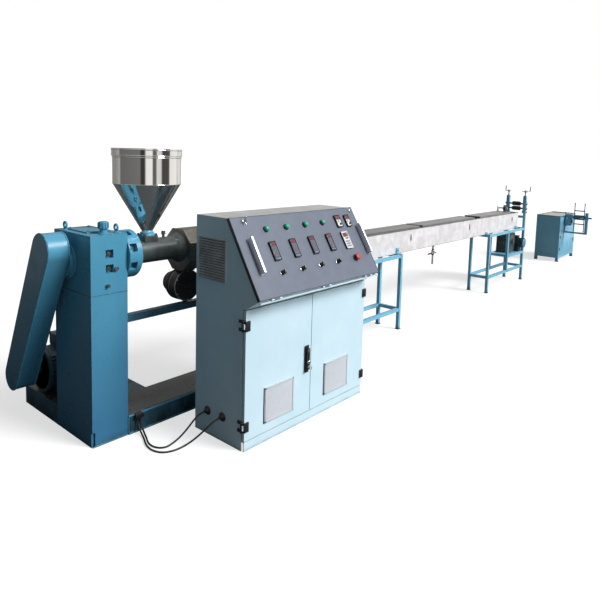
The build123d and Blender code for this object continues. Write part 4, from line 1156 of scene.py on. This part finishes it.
CAMERA_YAW = 48.8733
CAMERA_PITCH = -5.8442
CAMERA_ROLL = 1.5470
CAMERA_LENS = 33.822
CAMERA_SHIFT = -0.14697
CAMERA_PLACE = row(-1444.78, -2680.74, 1590)
yaw = math.radians(CAMERA_YAW)
pitch = math.radians(CAMERA_PITCH)
roll = math.radians(CAMERA_ROLL)
ahead = Vector((math.sin(yaw) * math.cos(pitch), math.cos(yaw) * math.cos(pitch), math.sin(pitch)))
level = Vector((math.cos(yaw), -math.sin(yaw), 0))
upright = level.cross(ahead)
right = level * math.cos(roll) + upright * math.sin(roll)
above = upright * math.cos(roll) - level * math.sin(roll)
camera = add("camera", bpy.data.cameras.new("camera"))
facing = Matrix((right, above, -ahead)).transposed().to_4x4()
camera.matrix_world = Matrix.Translation(CAMERA_PLACE) @ facing
camera.data.lens = CAMERA_LENS
camera.data.shift_y = CAMERA_SHIFT
camera.data.sensor_width = 36
camera.data.clip_end = 200
bpy.context.scene.camera = camera

# Where the sun stands, and the side that the fill light comes from.
SUN_FROM = Vector((0.42, -1.0, 0.85))
FRONT = (0.34, -0.90, 0.27)
sun = add("sun", bpy.data.lights.new("sun", "SUN"))
sun.data.energy = 3.3
sun.data.angle = math.radians(24)
sun.rotation_euler = SUN_FROM.to_track_quat("Z", "Y").to_euler()

FILL_BEHIND = 0.07
FILL_IN_FRONT = 0.85
FLOOR_GLOW = 0.64
FLOOR_REACH = 60
# Compass shares and greys of what shiny surfaces see round the machine.
SURROUND = (
    (0.0, 0.85), (0.06, 0.80), (0.12, 0.35), (0.22, 0.30), (0.30, 0.26), (0.375, 0.42), (0.39, 0.15),
    (0.50, 0.17), (0.59, 0.19), (0.605, 0.04), (0.635, 0.05), (0.65, 0.95), (0.70, 1.0), (0.712, 0.10),
    (0.74, 0.18), (0.75, 0.85), (0.785, 0.75), (0.80, 0.07), (0.87, 0.08), (0.885, 0.95), (0.97, 1.0),
)


def light():
    """Dull surfaces get a fill light from the front, shiny ones see the stripes, the camera sees white."""
    world = bpy.data.worlds.new("room")
    bpy.context.scene.world = world
    look = Tree(world)
    path = look.node("ShaderNodeLightPath").outputs
    towards = look.node("ShaderNodeTexCoord").outputs["Generated"]
    compass = look.node("ShaderNodeMath", operation="ARCTAN2")
    look.feed(compass.inputs[0], look.along("Y", towards))
    look.feed(compass.inputs[1], look.along("X", towards))
    turned = look.node("ShaderNodeMath", operation="MULTIPLY_ADD")
    for socket, value in zip(turned.inputs, (compass.outputs[0], 0.5 / math.pi, 1.0)):
        look.feed(socket, value)
    share = look.node("ShaderNodeMath", operation="FRACT")
    look.feed(share.inputs[0], turned.outputs[0])
    ramp = look.node("ShaderNodeValToRGB")
    look.feed(ramp.inputs["Fac"], share.outputs[0])
    stops = ramp.color_ramp.elements
    while len(stops) > 1:
        stops.remove(stops[0])
    stops[0].position = 0.999
    stops[0].color = (0.62, 0.62, 0.62, 1)
    for position, grey in SURROUND:
        stops.new(position).color = (grey, grey * 0.985, grey * 0.96, 1)
    overhead = look.fit(look.along("Z", towards), 0.45, 0.8)
    sky = look.mix(overhead, ramp.outputs["Color"], (0.8, 0.8, 0.8))

    front = look.node("ShaderNodeVectorMath", operation="DOT_PRODUCT")
    look.feed(front.inputs[0], towards)
    front.inputs[1].default_value = FRONT
    fill = look.fit(front.outputs["Value"], 0.35, 1.0, FILL_BEHIND, FILL_IN_FRONT)
    lit = look.mix(path["Is Glossy Ray"], fill, sky)
    seen = look.maths("MAXIMUM", path["Is Camera Ray"], path["Is Transmission Ray"])
    background = look.tree.nodes["Background"]
    look.feed(background.inputs["Color"], look.mix(seen, lit, (1, 1, 1)))


def floor():
    """A floor that stays white to the camera but keeps the shadow, darker at the left and to shiny faces."""
    look = Looks("floor")
    output = look.tree.nodes["Material Output"]
    path = look.node("ShaderNodeLightPath").outputs
    seen = look.maths("MAXIMUM", path["Is Camera Ray"], path["Is Transmission Ray"])
    pale = look.mix(look.fit(look.noise(3, 6), 0.3, 0.7), (0.48, 0.48, 0.48), (0.51, 0.51, 0.51))
    across = look.fit(look.along("X", look.place), -4.3, -2.6)
    lit = look.mix(across, (0.05, 0.05, 0.05), (0.36, 0.36, 0.36))
    grey = look.mix(path["Is Glossy Ray"], lit, (0.075, 0.085, 0.09))
    look.done(look.mix(seen, grey, pale), 0.9)
    glow = look.node("ShaderNodeEmission")
    glow.inputs["Strength"].default_value = FLOOR_GLOW
    both = look.node("ShaderNodeAddShader")
    look.feed(both.inputs[0], look.shader.outputs[0])
    look.feed(both.inputs[1], glow.outputs[0])
    # Shiny upright faces see the surround, not the floor's far end.
    far = look.node("ShaderNodeVectorMath", operation="LENGTH")
    look.feed(far.inputs[0], look.place)
    beyond = look.maths("MULTIPLY", path["Is Glossy Ray"], look.fit(far.outputs["Value"], 7.0, 7.5))

    def blend(share, first, second):
        made = look.node("ShaderNodeMixShader")
        for socket, value in zip(made.inputs, (share, first, second)):
            look.feed(socket, value)
        return made.outputs[0]

    bare = blend(seen, look.shader.outputs[0], both.outputs[0])
    clear = look.node("ShaderNodeBsdfTransparent").outputs[0]
    look.feed(output.inputs["Surface"], blend(beyond, bare, clear))
    mesh = bpy.data.meshes.new("floor")
    a, b = -FLOOR_REACH, FLOOR_REACH
    mesh.from_pydata([(a, a, 0), (b, a, 0), (b, b, 0), (a, b, 0)], [], [(0, 1, 2, 3)])
    mesh.materials.append(look.material)
    laid = add("floor", mesh)


light()
floor()
bpy.context.scene.view_settings.view_transform = "Standard"
